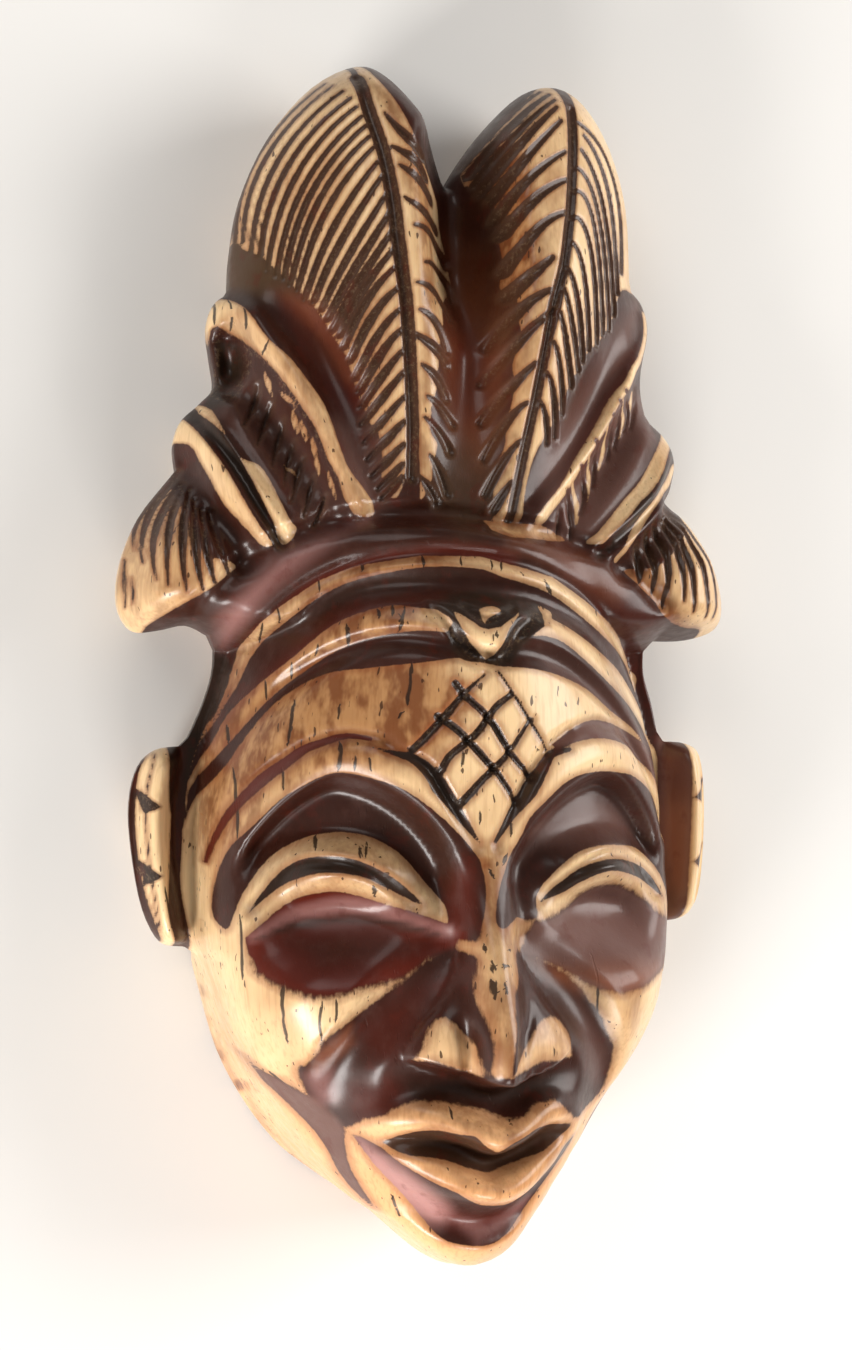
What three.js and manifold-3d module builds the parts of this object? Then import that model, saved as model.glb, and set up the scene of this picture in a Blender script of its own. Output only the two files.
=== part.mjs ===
// Miniature mask, Punu type, carved from one piece of bone and stained.
// Millimetres. +Z is up, out of the face; +Y runs from the chin to the crest; the mask
// lies on its back with its rim on z = 0 and the origin under the middle of its outline.

import * as THREE from 'three';
import { ParametricGeometry } from 'three/addons/geometries/ParametricGeometry.js';
import { mergeVertices } from 'three/addons/utils/BufferGeometryUtils.js';
import Module from 'manifold-3d';

// Driving sizes
const CENTRE_X = -0.2;
const CENTRE_Y = 1.1;
const FRONT_CELL = 1.28;
const BACK_CELL = 2.6;
const BLOCK = { left: -30.7, right: 30.5, low: -54.4, high: 56.8 };
const RIM_BAND = 0.9;
const CREST_EQUATOR = 8.4;
const EAR_EQUATOR = 7.4;
const RIM_EQUATOR = 1.1;
const CHIN_EQUATOR = 12.6;
const CREST_START = 2.5;
const CHIN_OVERHANG = { rimLow: -49.5, rimCurve: 0.024, reach: 3.4 };
const HOLLOW_FACETS = { around: 36, down: 24 };
const FACE_HOLLOW = { y: -21, halfWidth: 15.5, halfLength: 23, depth: 17.5 };
const CREST_HOLLOW = { y: 24.5, halfWidth: 11, halfLength: 16.5, depth: 6.5 };

// Plan outline, from the notch between the plumes, down the right side and up the left
const OUTLINE_RUNS = {
  rightPlume: [[1.0, 44.9], [2.6, 47.6], [5.0, 50.8], [8.2, 53.9], [11.4, 54.9], [14.4, 53.6],
    [17.2, 49.6], [18.9, 44.0], [19.2, 37.2]],
  rightScroll: [[19.4, 36.3], [20.6, 35.0], [21.1, 32.6], [20.4, 29.2], [20.3, 26.6], [20.6, 24.6]],
  rightCurl: [[21.1, 23.9], [22.9, 22.4], [23.8, 20.0], [23.2, 17.6], [22.6, 16.4]],
  rightLobe: [[23.3, 15.7], [25.4, 13.9], [27.6, 10.6], [28.6, 7.0], [28.0, 4.4], [25.0, 3.3],
    [21.6, 3.2]],
  rightTemple: [[20.8, 2.2], [21.0, 0.2], [21.9, -2.6], [22.5, -5.4]],
  rightEar: [[23.2, -6.4], [25.4, -6.6], [26.9, -7.8], [27.4, -12.0], [27.2, -18.0],
    [26.5, -21.8], [24.8, -23.3], [22.6, -23.8]],
  rightFlank: [[21.8, -24.8], [20.7, -29.2], [18.9, -35.1], [16.2, -40.2], [13.0, -44.4],
    [9.8, -47.2]],
  chin: [[8.0, -48.4], [5.8, -50.8], [3.4, -52.4], [0.6, -52.9], [-2.2, -52.0], [-4.8, -50.2],
    [-6.9, -48.4]],
  leftFlank: [[-9.5, -47.1], [-13.0, -44.3], [-16.2, -40.2], [-18.9, -35.1], [-20.6, -29.2],
    [-21.6, -25.4]],
  leftEar: [[-22.5, -24.7], [-24.8, -24.1], [-26.5, -21.0], [-27.5, -15.6], [-27.7, -11.4],
    [-26.9, -8.2], [-25.3, -6.7], [-23.2, -6.4]],
  leftTemple: [[-22.4, -5.6], [-21.1, -2.7], [-20.3, 0.0], [-20.2, 2.2]],
  leftLobe: [[-20.8, 3.5], [-22.8, 4.4], [-25.4, 3.9], [-27.6, 3.9], [-28.9, 6.2], [-28.6, 9.9],
    [-27.0, 13.9], [-24.5, 17.2]],
  leftCurl: [[-23.7, 18.2], [-23.9, 20.4], [-23.3, 22.5], [-22.0, 23.8]],
  leftScroll: [[-21.3, 24.5], [-20.3, 25.8], [-20.6, 28.4], [-20.9, 31.0], [-20.4, 33.0],
    [-19.4, 33.9]],
  leftPlume: [[-19.0, 34.6], [-18.8, 37.8], [-17.9, 42.8], [-15.4, 48.4], [-11.6, 53.0],
    [-7.6, 55.2], [-4.9, 54.3], [-2.0, 51.0], [-0.2, 47.8], [0.7, 45.4]],
};

// Sections along the length: half width of the jaw line, half width of the rim, height at the
// jaw line, height along the middle and how full the dome is between them
const JAW_HALF = [[-52.9, 0.8], [-51, 4.6], [-48, 7.6], [-44, 10.6], [-40, 13.7], [-35, 17.3],
  [-30, 19.8], [-25, 21.2], [-20, 21.7], [-15, 21.8], [-10, 21.6], [-5, 21.0], [0, 19.8], [8, 18.6],
  [14, 18]];
const RIM_HALF = [[-52.9, 3], [-49.5, 8], [-47.2, 10], [-44.3, 13.2], [-40.2, 16.4], [-35.1, 19.1],
  [-29.2, 20.9], [-25, 22.2], [-6, 22.8], [0, 20.8], [14, 20.8]];
const JAW_HEIGHT = [[-52.9, 13.4], [-48, 13.8], [-44, 14], [-40, 14], [-35, 13.4], [-30, 12.2],
  [-25, 10.6], [-20, 9.6], [-15, 8.8], [-10, 8], [-5, 7.4], [0, 7], [14, 6.5]];
const MIDDLE_HEIGHT = [[-52.9, 15.2], [-51, 19.4], [-48, 22.6], [-44, 24.2], [-40, 25], [-35, 25.6],
  [-30, 25.9], [-25, 25.8], [-20, 25.4], [-15, 25.8], [-10, 26.1], [-5, 26.2], [0, 26],
  [5, 25.2], [14, 20]];
const DOME_POWER = [[-52.9, 0.5], [-48, 0.6], [-44, 0.72], [-40, 0.72], [-35, 0.6], [-30, 0.52],
  [-25, 0.5], [-15, 0.55], [-5, 0.68], [0, 0.78], [5, 0.84], [14, 0.9]];
const CREST_HEIGHT = [[2, 18.6], [8, 19.6], [13, 19.6], [20, 18.6], [30, 17.6], [44, 17.2],
  [50, 16.4], [54, 14.4], [57, 12]];
const CREST_HALF = [[2, 29.4], [8, 29.2], [20, 24.8], [31, 22], [40, 20.4], [45, 19.8], [50, 18.6],
  [57, 16]];

// Carved ridges (positive height) and cuts (negative height). Each follows a line; half is
// how far it reaches to either side; ends gives how much of the height is left at its start
// and end. twin copies it across the middle.
const CARVING = [
  { name: 'left plume crown', height: 2.4, half: 7.5, ends: [0.2, 0.1],
    line: [[-9.6, 51], [-7.2, 46], [-5.7, 39.6], [-4.9, 33], [-4.4, 24], [-4.8, 14.5]] },
  { name: 'right plume crown', height: 2.4, half: 7.5, ends: [0.2, 0.1],
    line: [[10.3, 50.6], [10.2, 45], [9.2, 36.5], [7.8, 28.8], [6.4, 21.4], [4.8, 13.5]] },
  { name: 'valley top', height: -5.6, half: 5.6, ends: [1.1, 0],
    line: [[1.0, 46], [1.1, 41], [1.3, 35], [1.2, 28]] },
  { name: 'valley', height: -2.4, half: 4.4, ends: [0.6, 0],
    line: [[1.3, 40], [1.3, 32], [1.1, 24], [0.6, 13]] },
  { name: 'left roll', height: -1.5, half: 2.8, ends: [0.2, 0.4],
    line: [[-17.8, 37], [-15.2, 33.6], [-12.4, 29.4], [-10.3, 25], [-8.7, 20], [-7.6, 15.5]] },
  { name: 'right roll', height: -1.2, half: 2.6, ends: [0.2, 0.4],
    line: [[19, 34.6], [17, 31.4], [14.3, 27.2], [11.8, 23.2], [9.6, 19.6], [7.4, 15.8]] },
  { name: 'left scroll', height: 1.5, half: 1.8, ends: [0.7, 0.5],
    line: [[-20.7, 31.2], [-19.8, 32.9], [-18.2, 31.7], [-16.2, 28.6], [-14.2, 25.3], [-12, 20.5],
      [-9.2, 14.3]] },
  { name: 'right scroll', height: 1.1, half: 1.4, ends: [0.8, 0.5],
    line: [[20.5, 33.6], [20.3, 31.4], [18.4, 28.6], [15.8, 25.3], [11.2, 19.2], [5.6, 13.2]] },
  { name: 'left scroll pit', height: -2.4, half: 2.6, ends: [0.5, 0.4],
    line: [[-19.4, 29.4], [-17.8, 25.4], [-15.4, 20.6], [-11.6, 13.8]] },
  { name: 'right scroll pit', height: -1.8, half: 2.4, ends: [0.5, 0.4],
    line: [[19.4, 27.2], [17.2, 23], [14.3, 19.2], [9.4, 13.8]] },
  { name: 'left curl', height: 1.5, half: 2.3, ends: [0.8, 0.6],
    line: [[-22.8, 22.3], [-20.9, 19.4], [-19, 16], [-16.2, 12]] },
  { name: 'right curl', height: 1.4, half: 2.1, ends: [0.8, 0.6],
    line: [[22.5, 20.8], [20.1, 17.4], [17, 14.4], [13.4, 11.4]] },
  { name: 'left curl cut', height: -1.2, half: 0.9, ends: [0.8, 0.8],
    line: [[-22.4, 23], [-20, 18.9], [-18, 15.2], [-15.6, 11.3]] },
  { name: 'right curl cut', height: -1.1, half: 0.9, ends: [0.8, 0.8],
    line: [[22.4, 19.6], [20.2, 16.8], [16.9, 13.8], [13, 10.9]] },
  { name: 'left lobe gap', height: -1.7, half: 2.0, ends: [0.9, 0.6],
    line: [[-23.2, 18.4], [-21.8, 15.4], [-20.2, 12.6], [-18.4, 9.8]] },
  { name: 'right lobe gap', height: -1.5, half: 1.9, ends: [0.9, 0.6],
    line: [[22.2, 15.9], [20, 13.2], [17.6, 11], [15.6, 9.4]] },
  { name: 'left lobe', height: 2.2, half: 6.4, ends: [0.5, 0.9],
    line: [[-23.6, 14], [-24.6, 10.4], [-24.8, 7.4]] },
  { name: 'right lobe', height: 2.2, half: 6.4, ends: [0.5, 0.9],
    line: [[22.8, 12.6], [24.2, 9.4], [24.6, 6.8]] },
  { name: 'hair end', height: -1.3, half: 1.5, ends: [0.5, 0.5],
    line: [[-22.2, 6.2], [-19.7, 8.8], [-16.4, 11.1], [-12.6, 12.7], [-7.7, 13.6], [-1.9, 13.7],
      [3, 12.9], [8.5, 12.1], [14.9, 10.1], [19.6, 6.6]] },
  { name: 'headband', height: 1.0, half: 3.0, ends: [0.3, 0.3],
    line: [[-20.9, 4.2], [-18.4, 6.8], [-14.6, 9.4], [-9.4, 11.2], [-3, 12], [3, 11.4], [9, 10],
      [14.4, 7.6], [19, 4.4]] },
  { name: 'band cut', height: -0.8, half: 1.1, ends: [0.4, 0.4],
    line: [[-19.6, 0.8], [-17.4, 4.4], [-14, 7.5], [-9.8, 9.5], [-4.6, 10.4], [1, 10.1],
      [6, 9.1], [10.8, 7], [15, 3.8], [18.4, 0]] },
  { name: 'outer arc cut', height: -1.4, half: 1.9, ends: [0.4, 0.5],
    line: [[-19.5, -2.6], [-17.2, 1.2], [-13.8, 4.7], [-9.2, 7.1], [-4, 7.6], [0.8, 7],
      [5.6, 6.3], [9.8, 4.5], [13.6, 1.7], [16.8, -1.6], [19.4, -5.6]] },
  { name: 'left inner arc cut', height: -1.2, half: 1.4, ends: [0.5, 0.8],
    line: [[-21.9, -11.6], [-20.4, -8], [-18, -4.2], [-14.8, -0.6], [-11.2, 1.9], [-7.4, 3],
      [-3.4, 2.6], [0, 1.5]] },
  { name: 'right inner arc cut', height: -1.2, half: 1.4, ends: [0.6, 0.5],
    line: [[0.8, 1.3], [3.6, 1.9], [6.8, 1.1], [10.2, -0.7], [13.6, -3.2], [16.4, -6.2],
      [18.8, -9.8], [20.6, -14.4]] },
  { name: 'left brow line', height: -0.7, half: 0.9, ends: [0.5, 0.3],
    line: [[-21.4, -15.6], [-19.5, -10.9], [-15.2, -6.6], [-11.6, -5], [-8.2, -5.4]] },
  { name: 'right brow line', height: -0.7, half: 0.9, ends: [0.3, 0.5],
    line: [[6, -5.6], [9.5, -4.1], [12.6, -4.4], [16, -6.4], [19.2, -10], [20.9, -14.4]] },
  { name: 'left brow spike', height: -0.9, half: 0.9, ends: [0.3, 0.3],
    line: [[-8.2, -6], [-5.2, -7.4], [-3.4, -10], [-0.8, -14.3]] },
  { name: 'right brow spike', height: -0.9, half: 0.9, ends: [0.3, 0.3],
    line: [[7.6, -4.8], [5, -6.8], [3, -10], [1, -14.3]] },
  { name: 'brow ridge', height: 0.7, half: 2.2, ends: [0.3, 0.2], twin: true,
    line: [[-20.8, -15.8], [-17.6, -10.6], [-13.4, -7], [-9.6, -6.9], [-5.4, -9.2],
      [-2.2, -13.2]] },
  { name: 'lid', height: 3.4, half: 3.6, ends: [0.25, 0.35], twin: true,
    line: [[-18.6, -20.4], [-15.8, -17.7], [-12.2, -16.3], [-8.6, -17], [-5.2, -19.3]] },
  { name: 'eye slit', height: -0.9, half: 0.9, ends: [0.3, 0.3], twin: true,
    line: [[-18.2, -19.6], [-15.2, -16.4], [-12.4, -15.7], [-9, -16.6], [-5.6, -19.2]] },
  { name: 'nose ridge', height: 2.4, half: 3.0, ends: [0.25, 1],
    line: [[0.2, -16.5], [0.1, -20.6], [0.2, -25], [0.5, -29], [0.6, -32.4]] },
  { name: 'nose side', height: -0.9, half: 1.2, ends: [0.1, 0.9], twin: true,
    line: [[-3, -27.6], [-2.2, -30], [-1.9, -32.6]] },
  { name: 'cheek', height: 1.3, half: 6.5, ends: [0.6, 0.8], twin: true,
    line: [[-16.6, -25], [-13.6, -28.4]] },
  { name: 'cheek fold', height: -1.9, half: 3.1, ends: [0.5, 0.4], twin: true,
    line: [[-3.8, -23], [-6.8, -25.8], [-9.8, -29.2], [-11.6, -32.6], [-11.6, -35.8],
      [-10.6, -38.4]] },
  { name: 'under nose', height: -0.9, half: 2.0, ends: [0.3, 0.3],
    line: [[-8.8, -34], [-5.4, -33.8], [-1.6, -34.8], [0.8, -35.3], [3.6, -34.6], [8, -33.4]] },
  { name: 'muzzle', height: 1.5, half: 7.5, ends: [0.7, 0.7],
    line: [[-5, -39.4], [0.4, -40], [5.4, -39]] },
  { name: 'upper lip', height: 1.9, half: 2.1, ends: [0.3, 0.3],
    line: [[-9.6, -38.1], [-6.8, -36.8], [-4.6, -36.5], [-1.8, -37.4], [0.6, -38.3], [3, -37.7],
      [5.2, -36.6], [7.2, -37], [8.8, -38.3]] },
  { name: 'lower lip', height: 1.9, half: 2.2, ends: [0.3, 0.3],
    line: [[-8.8, -39.7], [-6, -41], [-3, -42.2], [0.4, -43.2], [3.4, -42.6], [6, -41],
      [8.4, -39]] },
  { name: 'mouth', height: -2.0, half: 1.5, ends: [0.3, 0.3],
    line: [[-8.4, -38.8], [-5.2, -38.8], [-2.6, -39.4], [0.4, -40.9], [3, -40.1], [5.4, -39],
      [7.8, -38.4]] },
  { name: 'chin fold', height: -1.2, half: 1.9, ends: [0.3, 0.3],
    line: [[-9.8, -39.6], [-7.8, -42.4], [-4.8, -45], [-1.4, -46.5], [1.8, -46.5], [4.8, -44.8],
      [7.6, -41.8], [9.2, -39.2]] },
  { name: 'chin', height: 1.1, half: 4.2, ends: [0.8, 0.8],
    line: [[-2, -49.6], [2.6, -49.6]] },
  { name: 'jaw wedge', height: -1.1, half: 2.0, ends: [0.3, 0.3], twin: true,
    line: [[-18.4, -32.8], [-15.9, -35.9], [-13.4, -38.9], [-10.8, -42.2]] },
];

// Eye hollows: the sharp upper edge under the brow and the soft lower edge on the cheek
const EYE_HOLLOW = {
  depth: 3.3,
  upperEase: 2.0,
  lowerEase: 6.5,
  upper: [[-21.1, -19.4], [-19.1, -14.3], [-15.8, -10.2], [-12.3, -8.1], [-9, -8.6],
    [-5.9, -10.4], [-3.4, -13], [-1.9, -16], [-1.7, -19.5], [-2.2, -23]],
  lower: [[-2.2, -23], [-5.4, -24.6], [-9, -26], [-13.5, -26.8], [-17.6, -25.6], [-20, -22.8],
    [-21.1, -19.4]],
};

// Nose wedge: half width and height along it, cut off at its lower edge
const NOSE = {
  half: [[-33.6, 7.4], [-31, 7.3], [-29, 6.2], [-27, 4.6], [-24, 3], [-20, 2.4], [-16, 2]],
  height: [[-33.6, 2.7], [-30, 2.6], [-27, 1.9], [-24, 1.3], [-20, 0.9], [-16, 0]],
  lowerEdge: [[-8, -31], [-5.1, -31.7], [-2.6, -32.4], [0.2, -33.3], [2.8, -33.2], [5.2, -32.6],
    [8.4, -31.2]],
  ease: 0.9,
};
const EAR = {
  gapHeight: 5.2,
  topHeight: 10.6,
  half: 3.1,
  line: [[-24.9, -7.2], [-25.5, -11], [-25.4, -17], [-24.4, -23.6]],
};

const clamp = (value, low, high) => Math.min(Math.max(value, low), high);
const ease = (value) => value * value * (3 - 2 * value);
const step = (from, to, value) => ease(clamp((value - from) / (to - from), 0, 1));
const bump = (ratio) => (ratio < 1 ? (1 - ratio * ratio) ** 2 : 0);
const mirrored = (line) => line.map(([x, y]) => [-x, y]);

// A smooth function through [position, value] stations
function stations(list) {
  const slope = list.map((_, i) => {
    const [x0, y0] = list[Math.max(i - 1, 0)];
    const [x1, y1] = list[Math.min(i + 1, list.length - 1)];
    return (y1 - y0) / (x1 - x0);
  });
  return (position) => {
    const at = clamp(position, list[0][0], list.at(-1)[0]);
    let i = 0;
    while (i < list.length - 2 && at > list[i + 1][0]) i += 1;
    const span = list[i + 1][0] - list[i][0];
    const t = (at - list[i][0]) / span;
    const rise = ease(t);
    return (1 - rise) * list[i][1] + rise * list[i + 1][1]
      + span * (t * (1 - t) ** 2 * slope[i] - t * t * (1 - t) * slope[i + 1]);
  };
}

// A smooth line through points, as short straight pieces with their lengths along it
function smoothLine(points, perSpan = 5) {
  const spline = new THREE.SplineCurve(points.map(([x, y]) => new THREE.Vector2(x, y)));
  const path = spline.getPoints((points.length - 1) * perSpan);
  const along = [0];
  for (let i = 1; i < path.length; i += 1) {
    along.push(along[i - 1] + path[i].distanceTo(path[i - 1]));
  }
  return { path, along, total: along.at(-1) };
}

// Distance from a place to a line and how far along the line the nearest spot is, 0 to 1
function nearest(line, x, y) {
  let distance = Infinity;
  let share = 0;
  for (let i = 1; i < line.path.length; i += 1) {
    const a = line.path[i - 1];
    const b = line.path[i];
    const dx = b.x - a.x;
    const dy = b.y - a.y;
    const t = clamp(((x - a.x) * dx + (y - a.y) * dy) / (dx * dx + dy * dy), 0, 1);
    const d = Math.hypot(x - a.x - t * dx, y - a.y - t * dy);
    if (d < distance) {
      distance = d;
      share = (line.along[i - 1] + t * (line.along[i] - line.along[i - 1])) / line.total;
    }
  }
  return { distance, share };
}

function isInside(path, x, y) {
  let within = false;
  for (let i = 0, j = path.length - 1; i < path.length; j = i, i += 1) {
    const a = path[i];
    const b = path[j];
    if ((a.y > y) !== (b.y > y) && x < ((b.x - a.x) * (y - a.y)) / (b.y - a.y) + a.x) {
      within = !within;
    }
  }
  return within;
}

const outlinePath = Object.values(OUTLINE_RUNS).flatMap((run) => smoothLine(run, 2).path);
const outlineLoop = (() => {
  const path = [...outlinePath, outlinePath[0]];
  const along = path.map((_, i) => i);
  return { path, along, total: path.length - 1 };
})();

// Depth of a place inside the plan outline, zero on and outside it
function depthInside(x, y) {
  return isInside(outlinePath, x, y) ? nearest(outlineLoop, x, y).distance : 0;
}

const jawHalf = stations(JAW_HALF);
const rimHalf = stations(RIM_HALF);
const jawHeight = stations(JAW_HEIGHT);
const middleHeight = stations(MIDDLE_HEIGHT);
const domePower = stations(DOME_POWER);
const crestHeight = stations(CREST_HEIGHT);
const crestHalf = stations(CREST_HALF);
const noseHalf = stations(NOSE.half);
const noseHeight = stations(NOSE.height);
const noseEdge = stations(NOSE.lowerEdge);

const carvedLines = CARVING.flatMap((cut) => {
  const own = { ...cut, shape: smoothLine(cut.line) };
  if (!cut.twin) return [own];
  return [own, { ...cut, shape: smoothLine(mirrored(cut.line)) }];
});
const eyeHollows = [1, -1].map((side) => {
  const place = (line) => smoothLine(side > 0 ? line : mirrored(line));
  const upper = place(EYE_HOLLOW.upper);
  const lower = place(EYE_HOLLOW.lower);
  return { upper, lower, loop: [...upper.path, ...lower.path] };
});
const earLines = [smoothLine(EAR.line), smoothLine(mirrored(EAR.line))];

// How far a place stands out over the rim under the chin, 0 to 1
function chinShare(x, y) {
  const rimY = CHIN_OVERHANG.rimLow + CHIN_OVERHANG.rimCurve * x * x;
  return step(0, CHIN_OVERHANG.reach, rimY - y);
}

// Height at which the outline stands widest: low at the rim, high under the chin and crest
function equator(x, y) {
  const side = EAR_EQUATOR + (RIM_EQUATOR - EAR_EQUATOR) * step(-22.5, -27.5, y);
  const crest = side + (CREST_EQUATOR - side) * step(-2, 4, y);
  return crest + (CHIN_EQUATOR - crest) * chinShare(x, y);
}

// Oval dome of the face over its jaw line, with a steep flank down to the rim
function faceHeight(x, y) {
  const half = jawHalf(y);
  const reach = Math.abs(x);
  const fill = Math.max(1 - Math.min(reach / half, 1) ** 2.1, 0) ** domePower(y);
  const dome = jawHeight(y) + (middleHeight(y) - jawHeight(y)) * fill;
  const share = Math.max(reach - half, 0) / Math.max(rimHalf(y) - half, 0.6);
  const foot = equator(x, y) + 0.6;
  const flank = dome + (foot - dome) * Math.min(share, 1.4) ** 0.85;
  return flank - Math.max(y - 13, 0) * 2;
}

function crestBody(x, y) {
  const reach = Math.min(Math.abs(x) / crestHalf(y), 1);
  const rise = (1 - reach ** 2.2) ** 0.7;
  return CREST_EQUATOR + (crestHeight(y) - CREST_EQUATOR) * rise;
}

function smoothMax(a, b, blend) {
  const mix = clamp(0.5 + (a - b) / (2 * blend), 0, 1);
  return b + (a - b) * mix + blend * mix * (1 - mix);
}

function carvingHeight(x, y) {
  let height = 0;
  for (const cut of carvedLines) {
    const { distance, share } = nearest(cut.shape, x, y);
    if (distance >= cut.half) continue;
    const near = share < 0.5 ? cut.ends[0] : cut.ends[1];
    const strength = near + (1 - near) * step(0, 0.5, 0.5 - Math.abs(share - 0.5));
    height += cut.height * strength * bump(distance / cut.half);
  }
  return height;
}

function eyeHollowDepth(x, y) {
  let depth = 0;
  for (const eye of eyeHollows) {
    if (!isInside(eye.loop, x, y)) continue;
    const upper = step(0, EYE_HOLLOW.upperEase, nearest(eye.upper, x, y).distance);
    const lower = step(0, EYE_HOLLOW.lowerEase, nearest(eye.lower, x, y).distance);
    depth = Math.max(depth, EYE_HOLLOW.depth * upper * lower);
  }
  return depth;
}

function noseWedge(x, y) {
  if (y > -15.5) return 0;
  const reach = Math.min(Math.abs(x - 0.4) / noseHalf(y), 1);
  const above = step(-NOSE.ease, 0, y - noseEdge(x));
  return noseHeight(y) * (1 - reach ** 2.6) ** 0.6 * above;
}

function withEar(height, x, y) {
  const band = step(-4.6, -7, y) * step(-25.2, -23.4, y) * step(21.6, 22.8, Math.abs(x));
  if (band <= 0) return height;
  const ear = nearest(earLines[x < 0 ? 0 : 1], x, y);
  const rise = (EAR.topHeight - EAR.gapHeight) * bump(ear.distance / EAR.half);
  return height + (EAR.gapHeight + rise - height) * band;
}

// Top surface of the carving
function frontHeight(x, y) {
  const inner = depthInside(x, y);
  const middle = equator(x, y);
  let height = faceHeight(x, y);
  if (y > -3) {
    const crest = crestBody(x, y) - (1 - step(-3, CREST_START + 3, y)) * 20;
    height = smoothMax(height, crest, 1.1);
  }
  height += carvingHeight(x, y) - eyeHollowDepth(x, y) + noseWedge(x, y);
  height = withEar(height, x, y);
  const roundOff = y > 2 ? 3.6 : 2.2;
  const edge = middle + RIM_BAND;
  const share = Math.sqrt(1 - (1 - Math.min(inner / roundOff, 1)) ** 2);
  return Math.max(edge + (height - edge) * share, edge);
}

// Underside: flat rim, rounded up to the widest line and cut back under the chin
function backHeight(x, y) {
  const inner = depthInside(x, y);
  const edge = Math.max(equator(x, y) - RIM_BAND, 0);
  const roundOff = y > -24 ? 5.5 : 4;
  const lift = 1 - Math.sqrt(1 - (1 - Math.min(inner / roundOff, 1)) ** 2);
  return edge * Math.max(lift, chinShare(x, y));
}

// A closed block over the plan rectangle whose upper and lower faces follow two heights
function block(cell, topOf, bottomOf) {
  const width = BLOCK.right - BLOCK.left;
  const length = BLOCK.high - BLOCK.low;
  const columns = Math.round(width / cell);
  const rows = Math.round(length / cell);
  const sheet = (heightOf) => new ParametricGeometry((u, v, target) => {
    const x = BLOCK.left + width * u;
    const y = BLOCK.low + length * v;
    target.set(x, y, heightOf(x, y));
  }, columns, rows);
  const top = sheet(topOf).getAttribute('position');
  const bottom = sheet(bottomOf).getAttribute('position');
  const count = top.count;
  const positions = [...top.array, ...bottom.array];
  const faces = [];
  const at = (column, row) => row * (columns + 1) + column;
  for (let row = 0; row < rows; row += 1) {
    for (let column = 0; column < columns; column += 1) {
      const corners = [at(column, row), at(column + 1, row), at(column + 1, row + 1),
        at(column, row + 1)];
      for (const [sheetHeights, offset, up] of [[top, 0, true], [bottom, count, false]]) {
        const [a, b, c, d] = corners;
        const fall = (p, q) => Math.abs(sheetHeights.getZ(p) - sheetHeights.getZ(q));
        const halves = fall(a, c) <= fall(b, d) ? [[a, b, c], [a, c, d]] : [[a, b, d], [b, c, d]];
        for (const half of halves) {
          const turned = up ? half : [...half].reverse();
          faces.push(...turned.map((index) => index + offset));
        }
      }
    }
  }
  const wall = (a, b) => faces.push(b, a, count + a, b, count + a, count + b);
  for (let column = 0; column < columns; column += 1) {
    wall(at(column, 0), at(column + 1, 0));
    wall(at(column + 1, rows), at(column, rows));
  }
  for (let row = 0; row < rows; row += 1) {
    wall(at(columns, row), at(columns, row + 1));
    wall(at(0, row + 1), at(0, row));
  }
  const geometry = new THREE.BufferGeometry();
  geometry.setAttribute('position', new THREE.Float32BufferAttribute(positions, 3));
  geometry.setIndex(faces);
  return geometry;
}

function outlinePrism() {
  const shape = new THREE.Shape(outlinePath);
  const prism = new THREE.ExtrudeGeometry(shape, { depth: 60, bevelEnabled: false });
  prism.translate(0, 0, -5);
  return prism;
}

function hollowBowl(hollow) {
  const bowl = new THREE.SphereGeometry(1, HOLLOW_FACETS.around, HOLLOW_FACETS.down);
  bowl.rotateX(Math.PI / 2);
  bowl.scale(hollow.halfWidth, hollow.halfLength, hollow.depth);
  bowl.translate(0, hollow.y, 0);
  return bowl;
}

const wasm = await Module();
wasm.setup();

function toSolid(source) {
  const geometry = source.index ? source.toNonIndexed() : source.clone();
  geometry.deleteAttribute('normal');
  geometry.deleteAttribute('uv');
  const merged = mergeVertices(geometry, 1e-5);
  return new wasm.Manifold(new wasm.Mesh({
    numProp: 3,
    vertProperties: new Float32Array(merged.attributes.position.array),
    triVerts: new Uint32Array(merged.index.array),
  }));
}

function toGeometry(solid) {
  const mesh = solid.getMesh();
  const geometry = new THREE.BufferGeometry();
  const positions = new Float32Array(mesh.vertProperties);
  geometry.setAttribute('position', new THREE.BufferAttribute(positions, 3));
  geometry.setIndex(new THREE.BufferAttribute(new Uint32Array(mesh.triVerts), 1));
  return geometry;
}

const frontBlock = toSolid(block(FRONT_CELL, frontHeight, () => -4));
const backBlock = toSolid(block(BACK_CELL, () => 45, backHeight));
const carved = frontBlock
  .intersect(backBlock)
  .intersect(toSolid(outlinePrism()))
  .subtract(toSolid(hollowBowl(FACE_HOLLOW)))
  .subtract(toSolid(hollowBowl(CREST_HOLLOW)));

const maskGeometry = toGeometry(carved);
maskGeometry.translate(-CENTRE_X, -CENTRE_Y, 0);
maskGeometry.computeVertexNormals();

const stainedBone = new THREE.MeshStandardMaterial({
  color: 0xb98a5c,
  roughness: 0.24,
  metalness: 0,
});
const mask = new THREE.Mesh(maskGeometry, stainedBone);
mask.name = 'mask';

const model = new THREE.Group();
model.add(mask);

export default model;
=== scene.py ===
"""Miniature mask of the Punu type, carved in bone, stained and polished.

One carved piece: the fine surface follows the same named sizes as the solid it replaces, adds
the hair barbs, the flutes, the lattice and the small cuts, and carries the stain as attributes.
"""

import logging
import math
from collections.abc import Callable, Sequence
from dataclasses import dataclass, field
from enum import Enum
from typing import ClassVar

import bpy
import numpy as np
from mathutils import Matrix, Vector


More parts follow.
